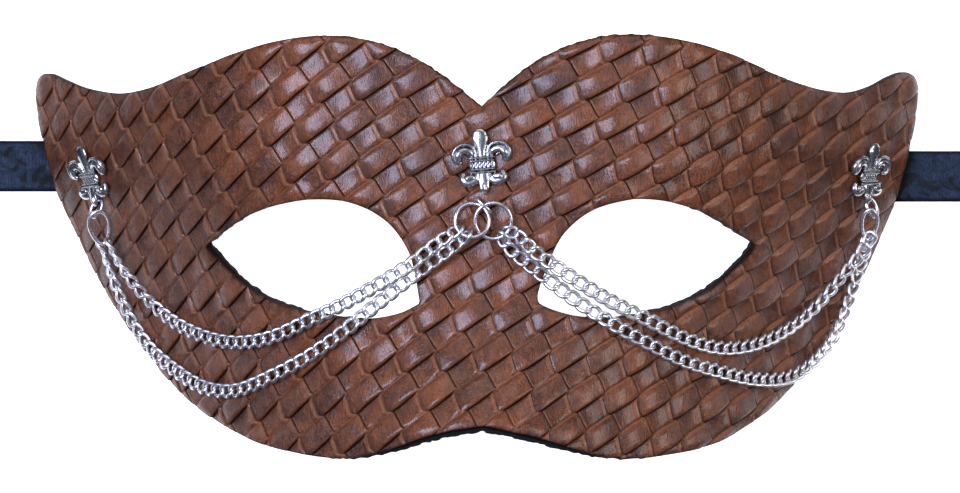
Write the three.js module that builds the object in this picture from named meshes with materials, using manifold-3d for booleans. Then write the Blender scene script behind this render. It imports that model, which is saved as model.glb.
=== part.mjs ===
// A masquerade eye mask of woven leather on a felt lining, with three cast fleur-de-lis charms,
// four curb chains and two tie ribbons. It lies on its edges, face up.
// Millimetres. +X is the right of the mask as its face is looked at, +Y its top, +Z away from the
// surface that it lies on. The origin is on that surface, under the middle of the mask.
import * as THREE from "three";
import { mergeVertices } from "three/addons/utils/BufferGeometryUtils.js";
import Module from "manifold-3d";

const wasm = await Module();
wasm.setup();

// Driving dimensions of the sheets
const LEATHER_THICKNESS = 1; // under the weave
const LINING_THICKNESS = 1.2;
const GLUE_GAP = 0.5;
const SHEET_TOP = 51.25; // height of the flat middle above the surface that the mask lies on
const SIDE_SLOPE = 1.19; // fall per millimetre at the temples
const BEND_START = 18; // from here outwards the sheet bends back
const BEND_END = 76; // from here outwards it runs straight
const FOLD_SHIFT = 0.7; // of the bend's middle, below the upper tips
const TIPS_AT = 30; // height of the upper tips in plan
const CHEEK_DROP = 20; // how much further back the lower sides reach
const CHEEK_TOP = 24;
const CHEEK_BOTTOM = -22;
const CHEEK_INNER = 8;
const CHEEK_OUTER = 74;
const NOSE_SLOPE = 0.47; // rise per millimetre at the lower edge of the nose
const NOSE_WIDTH = 20;
const NOSE_START = -4;
const NOSE_EASE = 25;

// The weave: strips one row wide rise to the right, over and under strips that cross them
const ROW_AT_MIDDLE = 2.79;
const ROWS_PER_MM = -0.1285;
const ROW_ARCH = -0.000155; // rows per square millimetre, from the bend of the blank
const STEP_AT_MIDDLE = 0.59;
const STEPS_ACROSS_PER_MM = 0.1215;
const STEPS_UP_PER_MM = 0.0683;
const STEPS_SKEW = 0.0001;
const STEPS_FAN = -0.00041;
const STEPS_GATHER = 0.0000054; // the blank's cells crowd at the temples
const FLOAT_SHARE = 0.61; // of one repeat along a strip that lies on top
const FLOAT_RISE = 0.5;
const FLOAT_HIP = 0.11; // share of the repeat from a float's end to its crest
const CREST_AT = 0.35; // share of the strip's width from its lower edge to its crest
const LAST_STRIP = 25;
const LAST_RUN = 8;

// Outline and eye holes, each a smooth curve through the points between two corners
const OUTLINE_LEFT = [
  [1.0, 27.9], [-5.3, 33.0], [-12.3, 37.6], [-20.3, 40.8], [-29.3, 42.0], [-38.3, 41.2],
  [-47.3, 38.8], [-58.3, 34.6], [-65.3, 31.8], [-71.7, 30.7], [-78.3, 31.7], [-82.9, 33.5],
  [-85.9, 34.8], [-88.0, 34.1], [-88.7, 31.4], [-88.3, 26.8], [-87.1, 20.8], [-84.5, 11.2],
  [-79.9, 1.4], [-75.9, -6.7], [-68.3, -18.7], [-57.7, -30.7], [-45.7, -38.2], [-35.3, -41.2],
  [-26.3, -42.0], [-17.3, -40.2], [-8.3, -37.2], [1.3, -35.5],
];
const OUTLINE_RIGHT = [
  [1.3, -35.5], [11.7, -37.8], [19.7, -40.2], [27.7, -42.0], [36.7, -41.7], [48.9, -38.7],
  [60.7, -30.7], [70.3, -18.9], [77.3, -6.9], [81.3, 2.0], [84.7, 10.4], [87.3, 20.8],
  [88.5, 27.4], [88.8, 31.8], [87.8, 34.4], [85.7, 35.1], [82.7, 34.0], [79.1, 32.1],
  [74.3, 30.9], [67.7, 31.7], [59.7, 34.4], [51.7, 38.0], [42.7, 40.8], [32.7, 42.2],
  [23.7, 41.6], [14.7, 38.5], [8.3, 34.4], [1.0, 27.9],
];
const EYE_LEFT_TOP = [
  [-54.1, 0.2], [-47.3, 5.2], [-41.3, 7.8], [-34.9, 9.2], [-28.3, 9.3], [-22.7, 7.9],
  [-17.7, 4.8], [-14.5, 0.8], [-12.7, -3.5], [-11.3, -11.2],
];
const EYE_LEFT_BOTTOM = [
  [-11.3, -11.2], [-15.3, -13.2], [-20.9, -14.2], [-28.3, -13.8], [-35.3, -12.6],
  [-42.1, -10.2], [-48.1, -6.1], [-54.1, 0.2],
];
const EYE_RIGHT_TOP = [
  [12.3, -11.1], [12.5, -8.2], [15.9, 0.2], [18.5, 3.8], [22.7, 7.0], [27.7, 8.8], [33.3, 9.5],
  [39.7, 8.6], [46.7, 6.0], [55.7, 0.4],
];
const EYE_RIGHT_BOTTOM = [
  [55.7, 0.4], [53.3, -2.9], [47.3, -8.1], [41.1, -11.2], [34.3, -13.1], [27.1, -14.1],
  [20.3, -13.8], [15.1, -12.5], [12.3, -11.1],
];
const OUTLINE_STEPS = 1; // straight steps for each point of the outline
const EYE_STEPS = 0.9;
const PLAIN_CELL_WIDTH = 13; // cells of the sheets' plain faces
const PLAIN_CELL_HEIGHT = 11;
const PLAIN_COLUMNS = 8; // on each side of the middle
const PLAIN_ROWS = 8;
const FAR_BELOW = -90; // foot of the blocks that the sheets are cut from

// Charms
const CHARM_LIFT = 0.85; // back of the charm above the sheet
const TIP_RISE = 0.95; // of the lowest petal's back, under which a link passes
const TOP_PETAL = { from: 0.4, to: 6.6, half: 1.6, height: 1.7 };
const BOTTOM_PETAL = { from: -6.6, to: -0.4, half: 1.3, height: 1.3, base: TIP_RISE };
const PETAL_TIP = 0.25; // share of a petal's length in each pointed end
const BAND = { half: 2.5, at: -0.6, width: 1.3, height: 1.9 };
// Curls from their root to their tip: x, y, half width, height
const UPPER_CURL = [
  [1.2, 0.6, 0.8, 1.2], [2, 2.8, 0.8, 1.3], [3.9, 3.2, 0.9, 1.5], [5.2, 1.9, 0.9, 1.5],
  [4.3, 0.5, 0.5, 0.8],
];
const LOWER_CURL = [
  [1.2, -1.8, 0.7, 1.1], [2, -3.5, 0.7, 1.2], [3.7, -3.6, 0.8, 1.3], [3.9, -2.3, 0.5, 0.8],
];
const CHARMS = {
  charm_center: { at: [1.1, 16.9], towards: [-0.09, 1], size: 1 },
  charm_left: { at: [-77.2, 14.3], towards: [-0.19, 1], size: 0.92 },
  charm_right: { at: [78.4, 14.8], towards: [0.08, 1], size: 0.92 },
};

// Rings and links, bent from round wire
const RING_WIRE = 0.6;
const RING_TILT = 0.17; // the two centre rings lean apart, so that each passes through the other
const RING_LIFT = 2.5;
const LARGE_LOOP = 3; // half length from which a loop has more corners
const LARGE_LOOP_CORNERS = 10;
const SMALL_LOOP_CORNERS = 6;
// The wire link stands on edge across both centre rings where they cross.
const WIRE_LINK = { at: [1.3, 8.35], lift: 2.7, along: [0.75, -0.66], halves: [2.2, 1.3], wire: 0.5 };

// Curb chains: links of LINK_WIRE, each turned against the chain so that they lie flat
const LINK_PITCH = 3;
const LINK_WIRE = 0.56;
const LINK_WIDTH = 2.3; // between the middles of a link's two long sides
const LINK_TWIST = 0.68; // how far each corner of a link stands above or below its middle
const LINK_PRESS = 0.03; // how far two links' ends are worn into each other
const CHAIN_LIFT = 1.72;
const OVER = 1.9; // more lift, where one chain lies on the other
const END_ROLL = 0.68; // turn of a chain's end link, which stands round a wire
const ROLLED_LINKS = 3; // over which that turn fades

// Ribbons
const RIBBON_WIDTH = 10.2;
const RIBBON_THICKNESS = 0.4;
const RIBBON_AT = { left: 16.2, right: 14.15 }; // height of each ribbon's middle in plan
const GLUED_LIFT = -3.6; // middle of the ribbon behind the sheet
const GLUED_AT = [72, 76, 79.5]; // distances from the middle of the mask
const HALF_LAID = [79.2, 2.9]; // distance and height where the ribbon leaves the sheet
const LAID = [[80.4, 0.6], [81.4, RIBBON_THICKNESS / 2], [91, RIBBON_THICKNESS / 2]];
const TWIST_STEPS = 5;
const TWIST_FROM = 103; // from here outwards the ribbon turns on edge
const TWIST_TO = 125;
const ROLL_AT = 132; // middle of the rolled-up length
const ROLL_OUTER = 22.5;
const ROLL_INNER = 7;
const ROLL_SIDES = 12;

const smooth = (t) => {
  const u = Math.min(Math.max(t, 0), 1);
  return u * u * (3 - 2 * u);
};

// Height of the leather's plain face over a point of the plan.
function sheetHeight(x, y) {
  const across = x - FOLD_SHIFT * smooth((TIPS_AT - y) / TIPS_AT);
  const away = Math.abs(across);
  const width = BEND_END - BEND_START;
  const u = Math.min(Math.max((away - BEND_START) / width, 0), 1);
  const bend = SIDE_SLOPE * (width * (u ** 3 - u ** 4 / 2) + Math.max(away - BEND_END, 0));
  const cheek =
    CHEEK_DROP *
    smooth((away - CHEEK_INNER) / (CHEEK_OUTER - CHEEK_INNER)) *
    smooth((CHEEK_TOP - y) / (CHEEK_TOP - CHEEK_BOTTOM));
  const below = Math.max(NOSE_START - y, 0);
  const ramp = below < NOSE_EASE ? below ** 2 / (2 * NOSE_EASE) : below - NOSE_EASE / 2;
  const nose = NOSE_SLOPE * Math.exp(-((across / NOSE_WIDTH) ** 2)) * ramp;
  return SHEET_TOP - bend - cheek + nose;
}

function sheetNormal(x, y) {
  const step = 0.05;
  const alongX = (sheetHeight(x + step, y) - sheetHeight(x - step, y)) / (2 * step);
  const alongY = (sheetHeight(x, y + step) - sheetHeight(x, y - step)) / (2 * step);
  return new THREE.Vector3(-alongX, -alongY, 1).normalize();
}

// The point that stands lift millimetres off the sheet, square to it.
function onSheet(x, y, lift) {
  return new THREE.Vector3(x, y, sheetHeight(x, y)).addScaledVector(sheetNormal(x, y), lift);
}

// The point that stands lift millimetres off the sheet and is seen at x, y in plan, with the
// direction that it stands in.
function standOff(x, y, lift) {
  let foot = { x, y };
  const rounds = 6;
  for (let i = 0; i < rounds; i++) {
    const out = sheetNormal(foot.x, foot.y);
    foot = { x: x - lift * out.x, y: y - lift * out.y };
  }
  return { point: onSheet(foot.x, foot.y, lift), out: sheetNormal(foot.x, foot.y) };
}

// Solids
function solidOf(positions, triangles) {
  const mesh = new wasm.Mesh({
    numProp: 3,
    vertProperties: new Float32Array(positions),
    triVerts: new Uint32Array(triangles),
  });
  return new wasm.Manifold(mesh);
}

// The same solid with its faces turned outwards, where they were listed the other way round
function outwards(positions, triangles) {
  const solid = solidOf(positions, triangles);
  return solid.volume() > 0 ? solid : solidOf(positions, [...triangles].reverse());
}

function solidOfGeometry(geometry) {
  const bare = new THREE.BufferGeometry();
  bare.setAttribute("position", geometry.getAttribute("position"));
  if (geometry.index) bare.setIndex(geometry.index);
  const merged = mergeVertices(bare, 1e-4);
  return outwards(merged.attributes.position.array, merged.index.array);
}

// The solid's vertices, moved one by one by place(vector), as a geometry.
function geometryOf(solid, place = (v) => v) {
  const { vertProperties, triVerts, numProp } = solid.getMesh();
  const positions = [];
  for (let i = 0; i < vertProperties.length; i += numProp) {
    const v = new THREE.Vector3(vertProperties[i], vertProperties[i + 1], vertProperties[i + 2]);
    positions.push(...place(v).toArray());
  }
  const geometry = new THREE.BufferGeometry();
  geometry.setAttribute("position", new THREE.Float32BufferAttribute(positions, 3));
  geometry.setIndex([...triVerts]);
  geometry.computeVertexNormals();
  return geometry;
}

// A closed block under a triangulated height field: points are [x, y], top and bottom give heights.
function blockUnder(points, faces, top, bottom) {
  const count = points.length;
  const positions = [];
  points.forEach(([x, y], i) => positions.push(x, y, top(x, y, i)));
  points.forEach(([x, y], i) => positions.push(x, y, bottom(x, y, i)));
  const triangles = [];
  const edges = new Map();
  for (const [a, b, c] of faces) {
    triangles.push(a, b, c, a + count, c + count, b + count);
    for (const [from, to] of [[a, b], [b, c], [c, a]]) edges.set(`${from},${to}`, [from, to]);
  }
  for (const [from, to] of edges.values()) {
    if (edges.has(`${to},${from}`)) continue;
    triangles.push(from, from + count, to, to, from + count, to + count);
  }
  return solidOf(positions, triangles);
}

// The plan of the mask as an upright prism
function splineInto(path, points, stepsPerPoint) {
  const curve = new THREE.SplineCurve(points.map(([x, y]) => new THREE.Vector2(x, y)));
  const steps = Math.round(points.length * stepsPerPoint);
  for (let i = 1; i <= steps; i++) {
    const p = curve.getPoint(i / steps);
    path.lineTo(p.x, p.y);
  }
}

function planPrism() {
  const plan = new THREE.Shape();
  plan.moveTo(...OUTLINE_LEFT[0]);
  splineInto(plan, OUTLINE_LEFT, OUTLINE_STEPS);
  splineInto(plan, OUTLINE_RIGHT, OUTLINE_STEPS);
  for (const [upper, lower] of [
    [EYE_LEFT_TOP, EYE_LEFT_BOTTOM],
    [EYE_RIGHT_TOP, EYE_RIGHT_BOTTOM],
  ]) {
    const hole = new THREE.Path();
    hole.moveTo(...upper[0]);
    splineInto(hole, upper, EYE_STEPS);
    splineInto(hole, lower, EYE_STEPS);
    plan.holes.push(hole);
  }
  const reach = 200;
  const geometry = new THREE.ExtrudeGeometry(plan, { depth: reach, bevelEnabled: false });
  geometry.translate(0, 0, -reach / 2);
  return solidOfGeometry(geometry);
}

// The sheets are cut out in plan, and then each cut edge is leaned square to the sheet.
function leanSquare(v) {
  return onSheet(v.x, v.y, v.z - sheetHeight(v.x, v.y));
}

// The plain faces, where the sheet is only bent: cells with their diagonals fanned from the middle
function plainGrid() {
  const points = [];
  const faces = [];
  for (let i = -PLAIN_COLUMNS; i <= PLAIN_COLUMNS; i++)
    for (let j = 0; j <= PLAIN_ROWS; j++)
      points.push([i * PLAIN_CELL_WIDTH, (j - PLAIN_ROWS / 2) * PLAIN_CELL_HEIGHT]);
  for (let i = 0; i < 2 * PLAIN_COLUMNS; i++)
    for (let j = 0; j < PLAIN_ROWS; j++) {
      const a = i * (PLAIN_ROWS + 1) + j;
      const b = a + PLAIN_ROWS + 1;
      if (i < PLAIN_COLUMNS) faces.push([a, b, a + 1], [b, b + 1, a + 1]);
      else faces.push([a, b, b + 1], [a, b + 1, a + 1]);
    }
  return { points, faces };
}

// Weave coordinates: strip counts rows upwards, run counts repeats along a strip.
function weaveAt(x, y) {
  const row = ROW_AT_MIDDLE + ROWS_PER_MM * y + ROW_ARCH * x * x;
  const step =
    STEP_AT_MIDDLE +
    STEPS_ACROSS_PER_MM * x +
    STEPS_UP_PER_MM * y +
    STEPS_SKEW * x * x +
    STEPS_FAN * x * y +
    STEPS_GATHER * x ** 3;
  return { strip: -(step + 2 * row), run: step / 2 };
}

// The plan point of given weave coordinates, by Newton's method with a capped step
function weavePoint(strip, run) {
  const rounds = 30;
  const cap = 20;
  const e = 0.01;
  const capped = (v) => Math.max(Math.min(v, cap), -cap);
  let x = (run - STEP_AT_MIDDLE / 2) / STEPS_ACROSS_PER_MM;
  let y = 0;
  for (let i = 0; i < rounds; i++) {
    const here = weaveAt(x, y);
    const right = weaveAt(x + e, y);
    const above = weaveAt(x, y + e);
    const a = (right.strip - here.strip) / e;
    const b = (above.strip - here.strip) / e;
    const c = (right.run - here.run) / e;
    const d = (above.run - here.run) / e;
    const s = strip - here.strip;
    const r = run - here.run;
    const det = a * d - b * c;
    x += capped((s * d - b * r) / det);
    y += capped((a * r - c * s) / det);
  }
  return [x, y];
}

// Every float is a low hip, longer along its lower edge; the squares between stay low.
function weaveField() {
  const points = [];
  const rises = [];
  const index = new Map();
  const vertex = (strip, run, rise) => {
    const key = `${strip.toFixed(3)},${run.toFixed(3)}`;
    if (!index.has(key)) {
      index.set(key, points.length);
      points.push(weavePoint(strip, run));
      rises.push(rise);
    }
    return index.get(key);
  };
  const faces = [];
  for (let strip = -LAST_STRIP; strip < LAST_STRIP; strip++) {
    const shift = Math.abs(strip) % 2 === 1 ? 0.5 : 0;
    for (let k = -LAST_RUN; k <= LAST_RUN; k++) {
      const start = k + shift;
      const low = [0, FLOAT_SHARE, 1].map((t) => vertex(strip, start + t, 0));
      const high = [FLOAT_SHARE - 0.5, 0.5, FLOAT_SHARE + 0.5].map((t) =>
        vertex(strip + 1, start + t, 0),
      );
      const crestA = vertex(strip + CREST_AT, start + FLOAT_HIP, FLOAT_RISE);
      const crestB = vertex(strip + CREST_AT, start + FLOAT_SHARE - FLOAT_HIP, FLOAT_RISE);
      faces.push([low[0], low[1], crestB], [low[0], crestB, crestA], [low[1], high[1], crestB]);
      faces.push([high[1], high[0], crestA], [high[1], crestA, crestB], [high[0], low[0], crestA]);
      faces.push([low[1], low[2], high[2]], [low[1], high[2], high[1]]);
    }
  }
  return { points, faces, rises };
}

const prism = planPrism();
const grid = plainGrid();
const plainBlock = (lift) =>
  blockUnder(grid.points, grid.faces, (x, y) => sheetHeight(x, y) + lift, () => FAR_BELOW);

// The solid without what lies under height 0, so that the mask rests on small flats
function aboveFloor(geometry) {
  const deep = 100;
  const slab = new THREE.BoxGeometry(4 * deep, 2 * deep, deep);
  slab.translate(0, 0, -deep / 2);
  return geometryOf(solidOfGeometry(geometry).subtract(solidOfGeometry(slab)));
}

function leatherGeometry() {
  const weave = weaveField();
  const woven = blockUnder(
    weave.points,
    weave.faces,
    (x, y, i) => sheetHeight(x, y) + weave.rises[i],
    () => FAR_BELOW,
  );
  const cut = woven.subtract(plainBlock(-LEATHER_THICKNESS)).intersect(prism);
  return geometryOf(cut, leanSquare);
}

function liningGeometry() {
  const front = -(LEATHER_THICKNESS + GLUE_GAP);
  const back = front - LINING_THICKNESS;
  const felt = blockUnder(
    grid.points,
    grid.faces,
    (x, y) => sheetHeight(x, y) + front,
    (x, y) => sheetHeight(x, y) + back,
  );
  return aboveFloor(geometryOf(felt.intersect(prism), leanSquare));
}

// Materials
const material = (color, roughness, metalness) =>
  new THREE.MeshStandardMaterial({ color, roughness, metalness });
const brownLeather = material(0x6b3a28, 0.45, 0);
const navyFelt = material(0x161a26, 0.95, 0);
const castMetal = material(0x8f8f8a, 0.35, 1);
const wireMetal = material(0xb4b6c0, 0.25, 1);
const navyRibbon = material(0x1d2742, 0.6, 0);

const mask = new THREE.Group();
function addPiece(name, geometry, finish) {
  const mesh = new THREE.Mesh(geometry, finish);
  mesh.name = name;
  mask.add(mesh);
}

// A frame on the sheet: up points along a direction of the plan, right is square to both.
function frameOn(out, towards) {
  const up = new THREE.Vector3(towards[0], towards[1], 0);
  up.z = -(out.x * up.x + out.y * up.y) / out.z;
  up.normalize();
  return { right: up.clone().cross(out), up, out };
}

// A closed wire through a ring of points, with few sides and mitred corners.
// One edge of its section points to the inside of the loop.
function wireLoop(points, radius, out) {
  const sides = 3;
  const count = points.length;
  const middle = points.reduce((sum, p) => sum.add(p), new THREE.Vector3()).divideScalar(count);
  const positions = [];
  points.forEach((p, i) => {
    const into = p.clone().sub(points[(i + count - 1) % count]).normalize();
    const onward = points[(i + 1) % count].clone().sub(p).normalize();
    const along = into.clone().add(onward).normalize();
    const outward = along.clone().cross(out).normalize();
    if (outward.dot(p.clone().sub(middle)) < 0) outward.negate();
    const across = outward.clone().cross(along);
    const mitre = 1 / along.dot(onward);
    for (let k = 0; k < sides; k++) {
      const angle = Math.PI + (2 * Math.PI * k) / sides;
      const v = p.clone().addScaledVector(outward, radius * Math.cos(angle) * mitre);
      v.addScaledVector(across, radius * Math.sin(angle));
      positions.push(...v.toArray());
    }
  });
  const triangles = [];
  for (let i = 0; i < count; i++)
    for (let k = 0; k < sides; k++) {
      const a = i * sides + k;
      const b = i * sides + ((k + 1) % sides);
      const c = ((i + 1) % count) * sides + k;
      const d = ((i + 1) % count) * sides + ((k + 1) % sides);
      triangles.push(a, b, c, b, d, c);
    }
  return outwards(positions, triangles);
}

// An oval wire loop about a centre: halves are its half lengths along the frame's right and up.
function ovalLoop(center, frame, halves, wire, corners) {
  const points = [];
  for (let i = 0; i < corners; i++) {
    const angle = (2 * Math.PI * (i + 0.5)) / corners;
    points.push(
      center
        .clone()
        .addScaledVector(frame.right, halves[0] * Math.cos(angle))
        .addScaledVector(frame.up, halves[1] * Math.sin(angle)),
    );
  }
  return wireLoop(points, wire / 2, frame.out);
}

// One twisted link between two joints of a chain
function curbLink(from, to, out) {
  const along = to.clone().sub(from);
  const radius = LINK_WIRE / 2;
  const half = along.length() / 2 + radius - LINK_PRESS / 2;
  const center = from.clone().add(to).multiplyScalar(0.5);
  along.normalize();
  const across = out.clone().cross(along).normalize();
  const up = along.clone().cross(across);
  const corner = (a, b, c) =>
    center
      .clone()
      .addScaledVector(along, a * half)
      .addScaledVector(across, (b * LINK_WIDTH) / 2)
      .addScaledVector(up, c * LINK_TWIST);
  const corners = [corner(1, 1, -1), corner(1, -1, 1), corner(-1, -1, -1), corner(-1, 1, 1)];
  return wireLoop(corners, radius, up);
}

// A chain through route points [x, y, lift more than CHAIN_LIFT]. Its end links are rolled by END_ROLL.
function chainGeometry(route) {
  const curve = new THREE.CatmullRomCurve3(
    route.map(([x, y, more = 0]) => standOff(x, y, CHAIN_LIFT + more).point),
  );
  const links = Math.round(curve.getLength() / LINK_PITCH);
  const joints = curve.getSpacedPoints(links);
  const solids = [];
  for (let i = 0; i < links; i++) {
    const fromEnd = Math.min(i, links - 1 - i);
    const turn = i === fromEnd ? END_ROLL : -END_ROLL;
    const roll = turn * Math.max(1 - fromEnd / ROLLED_LINKS, 0);
    const axis = joints[i + 1].clone().sub(joints[i]).normalize();
    const middle = joints[i].clone().add(joints[i + 1]).multiplyScalar(0.5);
    const out = standOff(middle.x, middle.y, CHAIN_LIFT).out.applyAxisAngle(axis, roll);
    solids.push(curbLink(joints[i], joints[i + 1], out));
  }
  return geometryOf(wasm.Manifold.union(solids));
}

// Route points of the chains, from the side of the mask to the centre rings
const CHAIN_ROUTES = {
  chain_upper_left: [
    [-73.95, 1.4, 1.8], [-71.7, -3.2, OVER], [-68.5, -7.5, 1.2], [-64.9, -11.5],
    [-60.7, -14.9], [-54.5, -17.9], [-48.1, -19.1], [-41.1, -18.1], [-33.9, -14.9],
    [-26.7, -11.5, 0.9], [-19.5, -7.5, OVER], [-12.5, -3.1, OVER], [-7.8, 0.8, OVER],
    [-5.4, 2.4, 1.6], [-3, 3.85, 1],
  ],
  chain_lower_left: [
    [-75.8, 1.1, 0.85], [-74.5, -1.5, 0.5], [-73.7, -4.2, 0.1], [-71.7, -9.2], [-68.9, -15.2],
    [-65.3, -20.5], [-60.3, -24.7], [-54.5, -28.1], [-48.1, -28.7], [-41.1, -25.9],
    [-33.9, -22.1], [-26.7, -17.1], [-19.5, -11.2], [-12.5, -5.7], [-6.9, -1.6, 0.15],
    [-3.85, 0.55, 0.1], [-1.3, 2.7, 1.65],
  ],
  chain_upper_right: [
    [79.35, 2.65, 2.25], [77.6, -0.75, OVER], [73.9, -5.2, 0.9], [68.7, -11.2],
    [62.7, -16.2], [55.5, -19.5], [48.5, -20.2], [41.3, -18.1], [34.1, -14.5],
    [26.9, -10.9, 0.6], [19.9, -6.7, OVER], [13.7, -2.5, OVER], [9.9, 0.4, 3],
    [8.5, 2.3, 1.1], [5.5, 3.5, 0.5],
  ],
  chain_lower_right: [
    [78.65, 1.9, 0.7], [77.6, -1.7, 0.45], [76.1, -6.7], [74.3, -12.1], [71.7, -18.1],
    [67.7, -22.9], [62.7, -26.1], [55.5, -26.5], [48.5, -24.9], [41.3, -22.7],
    [34.1, -19.1], [26.9, -15.2], [19.9, -10.7], [13.7, -6.1], [8.9, -2.3, 0.1],
    [6, 0.15, 0.3], [4.55, 2.75, 0.4],
  ],
};

// Rings and side links: place in plan, direction of the long way in plan, halves across and along it
const LOOPS = {
  center_ring_left: { at: [-0.9, 5.25], towards: [0, 1], halves: [3.4, 3.4], tilt: RING_TILT },
  center_ring_right: { at: [3.3, 5.15], towards: [0, 1], halves: [3.6, 3.6], tilt: -RING_TILT },
  side_small_link_left: {
    at: [-76.2, 7.8], towards: [0, 1], halves: [1.2, 1.9], lift: 1.65, tilt: 0.6,
  },
  side_small_link_right: {
    at: [79.3, 7.9], towards: [0, 1], halves: [1.2, 1.9], lift: 2, tilt: 0.55,
  },
  side_long_link_left: {
    at: [-75.5, 3.85], towards: [-0.18, 1], halves: [2, 3.55], lift: 3.05, roll: 0.95,
  },
  side_long_link_right: {
    at: [78.75, 4.4], towards: [0.12, 1], halves: [1.9, 3.3], lift: 2.9, roll: -0.85,
  },
};

// A loop's tilt is its turn about the frame's right and its roll is its turn about the frame's up.
function loopGeometry({ at, towards, halves, tilt = 0, roll = 0, lift = RING_LIFT }) {
  const { point, out } = standOff(...at, lift);
  const frame = frameOn(out, towards);
  frame.up.applyAxisAngle(frame.right, -tilt);
  frame.out.applyAxisAngle(frame.right, -tilt);
  frame.right.applyAxisAngle(frame.up, roll);
  frame.out.applyAxisAngle(frame.up, roll);
  const corners = halves[1] > LARGE_LOOP ? LARGE_LOOP_CORNERS : SMALL_LOOP_CORNERS;
  return geometryOf(ovalLoop(point, frame, halves, RING_WIRE, corners));
}

function wireLinkGeometry({ at, lift, along, halves, wire }) {
  const right = new THREE.Vector3(...along, 0).normalize();
  const up = new THREE.Vector3(0, 0, 1);
  const frame = { right, up, out: right.clone().cross(up) };
  return geometryOf(ovalLoop(standOff(...at, lift).point, frame, halves, wire, SMALL_LOOP_CORNERS));
}

// A charm's petal along its middle: a hip roof on a six-sided base
function petal({ from, to, half, height, base = 0 }) {
  const sharp = PETAL_TIP * (to - from);
  const rim = [
    [0, from], [half, from + sharp], [half, to - sharp], [0, to], [-half, to - sharp],
    [-half, from + sharp],
  ];
  const positions = rim.flatMap(([x, y]) => [x, y, base]);
  positions.push(0, from + sharp, base + height, 0, to - sharp, base + height);
  const roof = [0, 1, 6, 1, 2, 7, 1, 7, 6, 2, 3, 7, 3, 4, 7, 4, 5, 6, 4, 6, 7, 5, 0, 6];
  const back = [0, 5, 1, 1, 5, 4, 1, 4, 2, 2, 4, 3];
  return outwards(positions, [...roof, ...back]);
}

// A horn of three-sided section along plan points [x, y, half width, height], flat on its back
function horn(stations) {
  const positions = [];
  stations.forEach(([x, y, half, height], i) => {
    const before = stations[Math.max(i - 1, 0)];
    const after = stations[Math.min(i + 1, stations.length - 1)];
    const along = new THREE.Vector2(after[0] - before[0], after[1] - before[1]).normalize();
    positions.push(x - along.y * half, y + along.x * half, 0);
    positions.push(x + along.y * half, y - along.x * half, 0);
    positions.push(x, y, height);
  });
  const triangles = [0, 1, 2];
  for (let i = 0; i + 1 < stations.length; i++)
    for (let k = 0; k < 3; k++) {
      const a = i * 3 + k;
      const b = i * 3 + ((k + 1) % 3);
      triangles.push(a, a + 3, b, b, a + 3, b + 3);
    }
  const last = 3 * (stations.length - 1);
  triangles.push(last + 2, last + 1, last);
  return outwards(positions, triangles);
}

function charmSolid() {
  const solids = [petal(TOP_PETAL), petal(BOTTOM_PETAL)];
  const flip = ([x, y, half, height]) => [-x, y, half, height];
  for (const curl of [UPPER_CURL, LOWER_CURL]) solids.push(horn(curl), horn(curl.map(flip)));
  const { half, at, width, height } = BAND;
  solids.push(horn([-half, half].map((x) => [x, at, width, height])));
  return wasm.Manifold.union(solids);
}

function charmGeometry({ at, towards, size }) {
  const { point, out } = standOff(...at, CHARM_LIFT);
  const frame = frameOn(out, towards);
  return geometryOf(charm, (v) =>
    point
      .clone()
      .addScaledVector(frame.right, v.x * size)
      .addScaledVector(frame.up, v.y * size)
      .addScaledVector(frame.out, v.z * size),
  );
}

// Middles and width directions along a ribbon, from where it is glued to where it meets its roll
function ribbonStations(side, y) {
  const half = RIBBON_WIDTH / 2;
  const low = RIBBON_THICKNESS / 2;
  const flat = new THREE.Vector3(0, 1, 0);
  const edge = new THREE.Vector3(0, 0, 1);
  const stations = [];
  for (const away of GLUED_AT) {
    const lower = onSheet(side * away, y - half, GLUED_LIFT);
    const upper = onSheet(side * away, y + half, GLUED_LIFT);
    const middle = lower.clone().add(upper).multiplyScalar(0.5);
    stations.push({ middle, width: upper.sub(lower).normalize() });
  }
  const put = (away, z, width) =>
    stations.push({ middle: new THREE.Vector3(side * away, y, z), width });
  put(...HALF_LAID, stations.at(-1).width.clone().add(flat).normalize());
  for (const [away, z] of LAID) put(away, z, flat);
  for (let i = 0; i <= TWIST_STEPS; i++) {
    const angle = ((Math.PI / 2) * i) / TWIST_STEPS;
    const away = TWIST_FROM + ((TWIST_TO - TWIST_FROM) * i) / TWIST_STEPS;
    const width = new THREE.Vector3(0, Math.cos(angle), Math.sin(angle));
    put(away, half * Math.sin(angle) + low * Math.cos(angle), width);
  }
  put(ROLL_AT, half, edge);
  return stations;
}

function ribbonGeometry(side, y) {
  const stations = ribbonStations(side, y);
  const last = stations.length - 1;
  const geometry = new THREE.BoxGeometry(last, RIBBON_WIDTH, RIBBON_THICKNESS, last, 1, 1);
  const position = geometry.attributes.position;
  for (let i = 0; i < position.count; i++) {
    const at = Math.round(position.getX(i) + last / 2);
    const { middle, width } = stations[at];
    const before = stations[Math.max(at - 1, 0)].middle;
    const after = stations[Math.min(at + 1, last)].middle;
    const along = after.clone().sub(before).normalize();
    const through = along.cross(width).multiplyScalar(side).normalize();
    const v = middle
      .clone()
      .addScaledVector(width, position.getY(i))
      .addScaledVector(through, position.getZ(i));
    position.setXYZ(i, v.x, v.y, v.z);
  }
  return geometryOf(solidOfGeometry(geometry));
}

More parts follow.
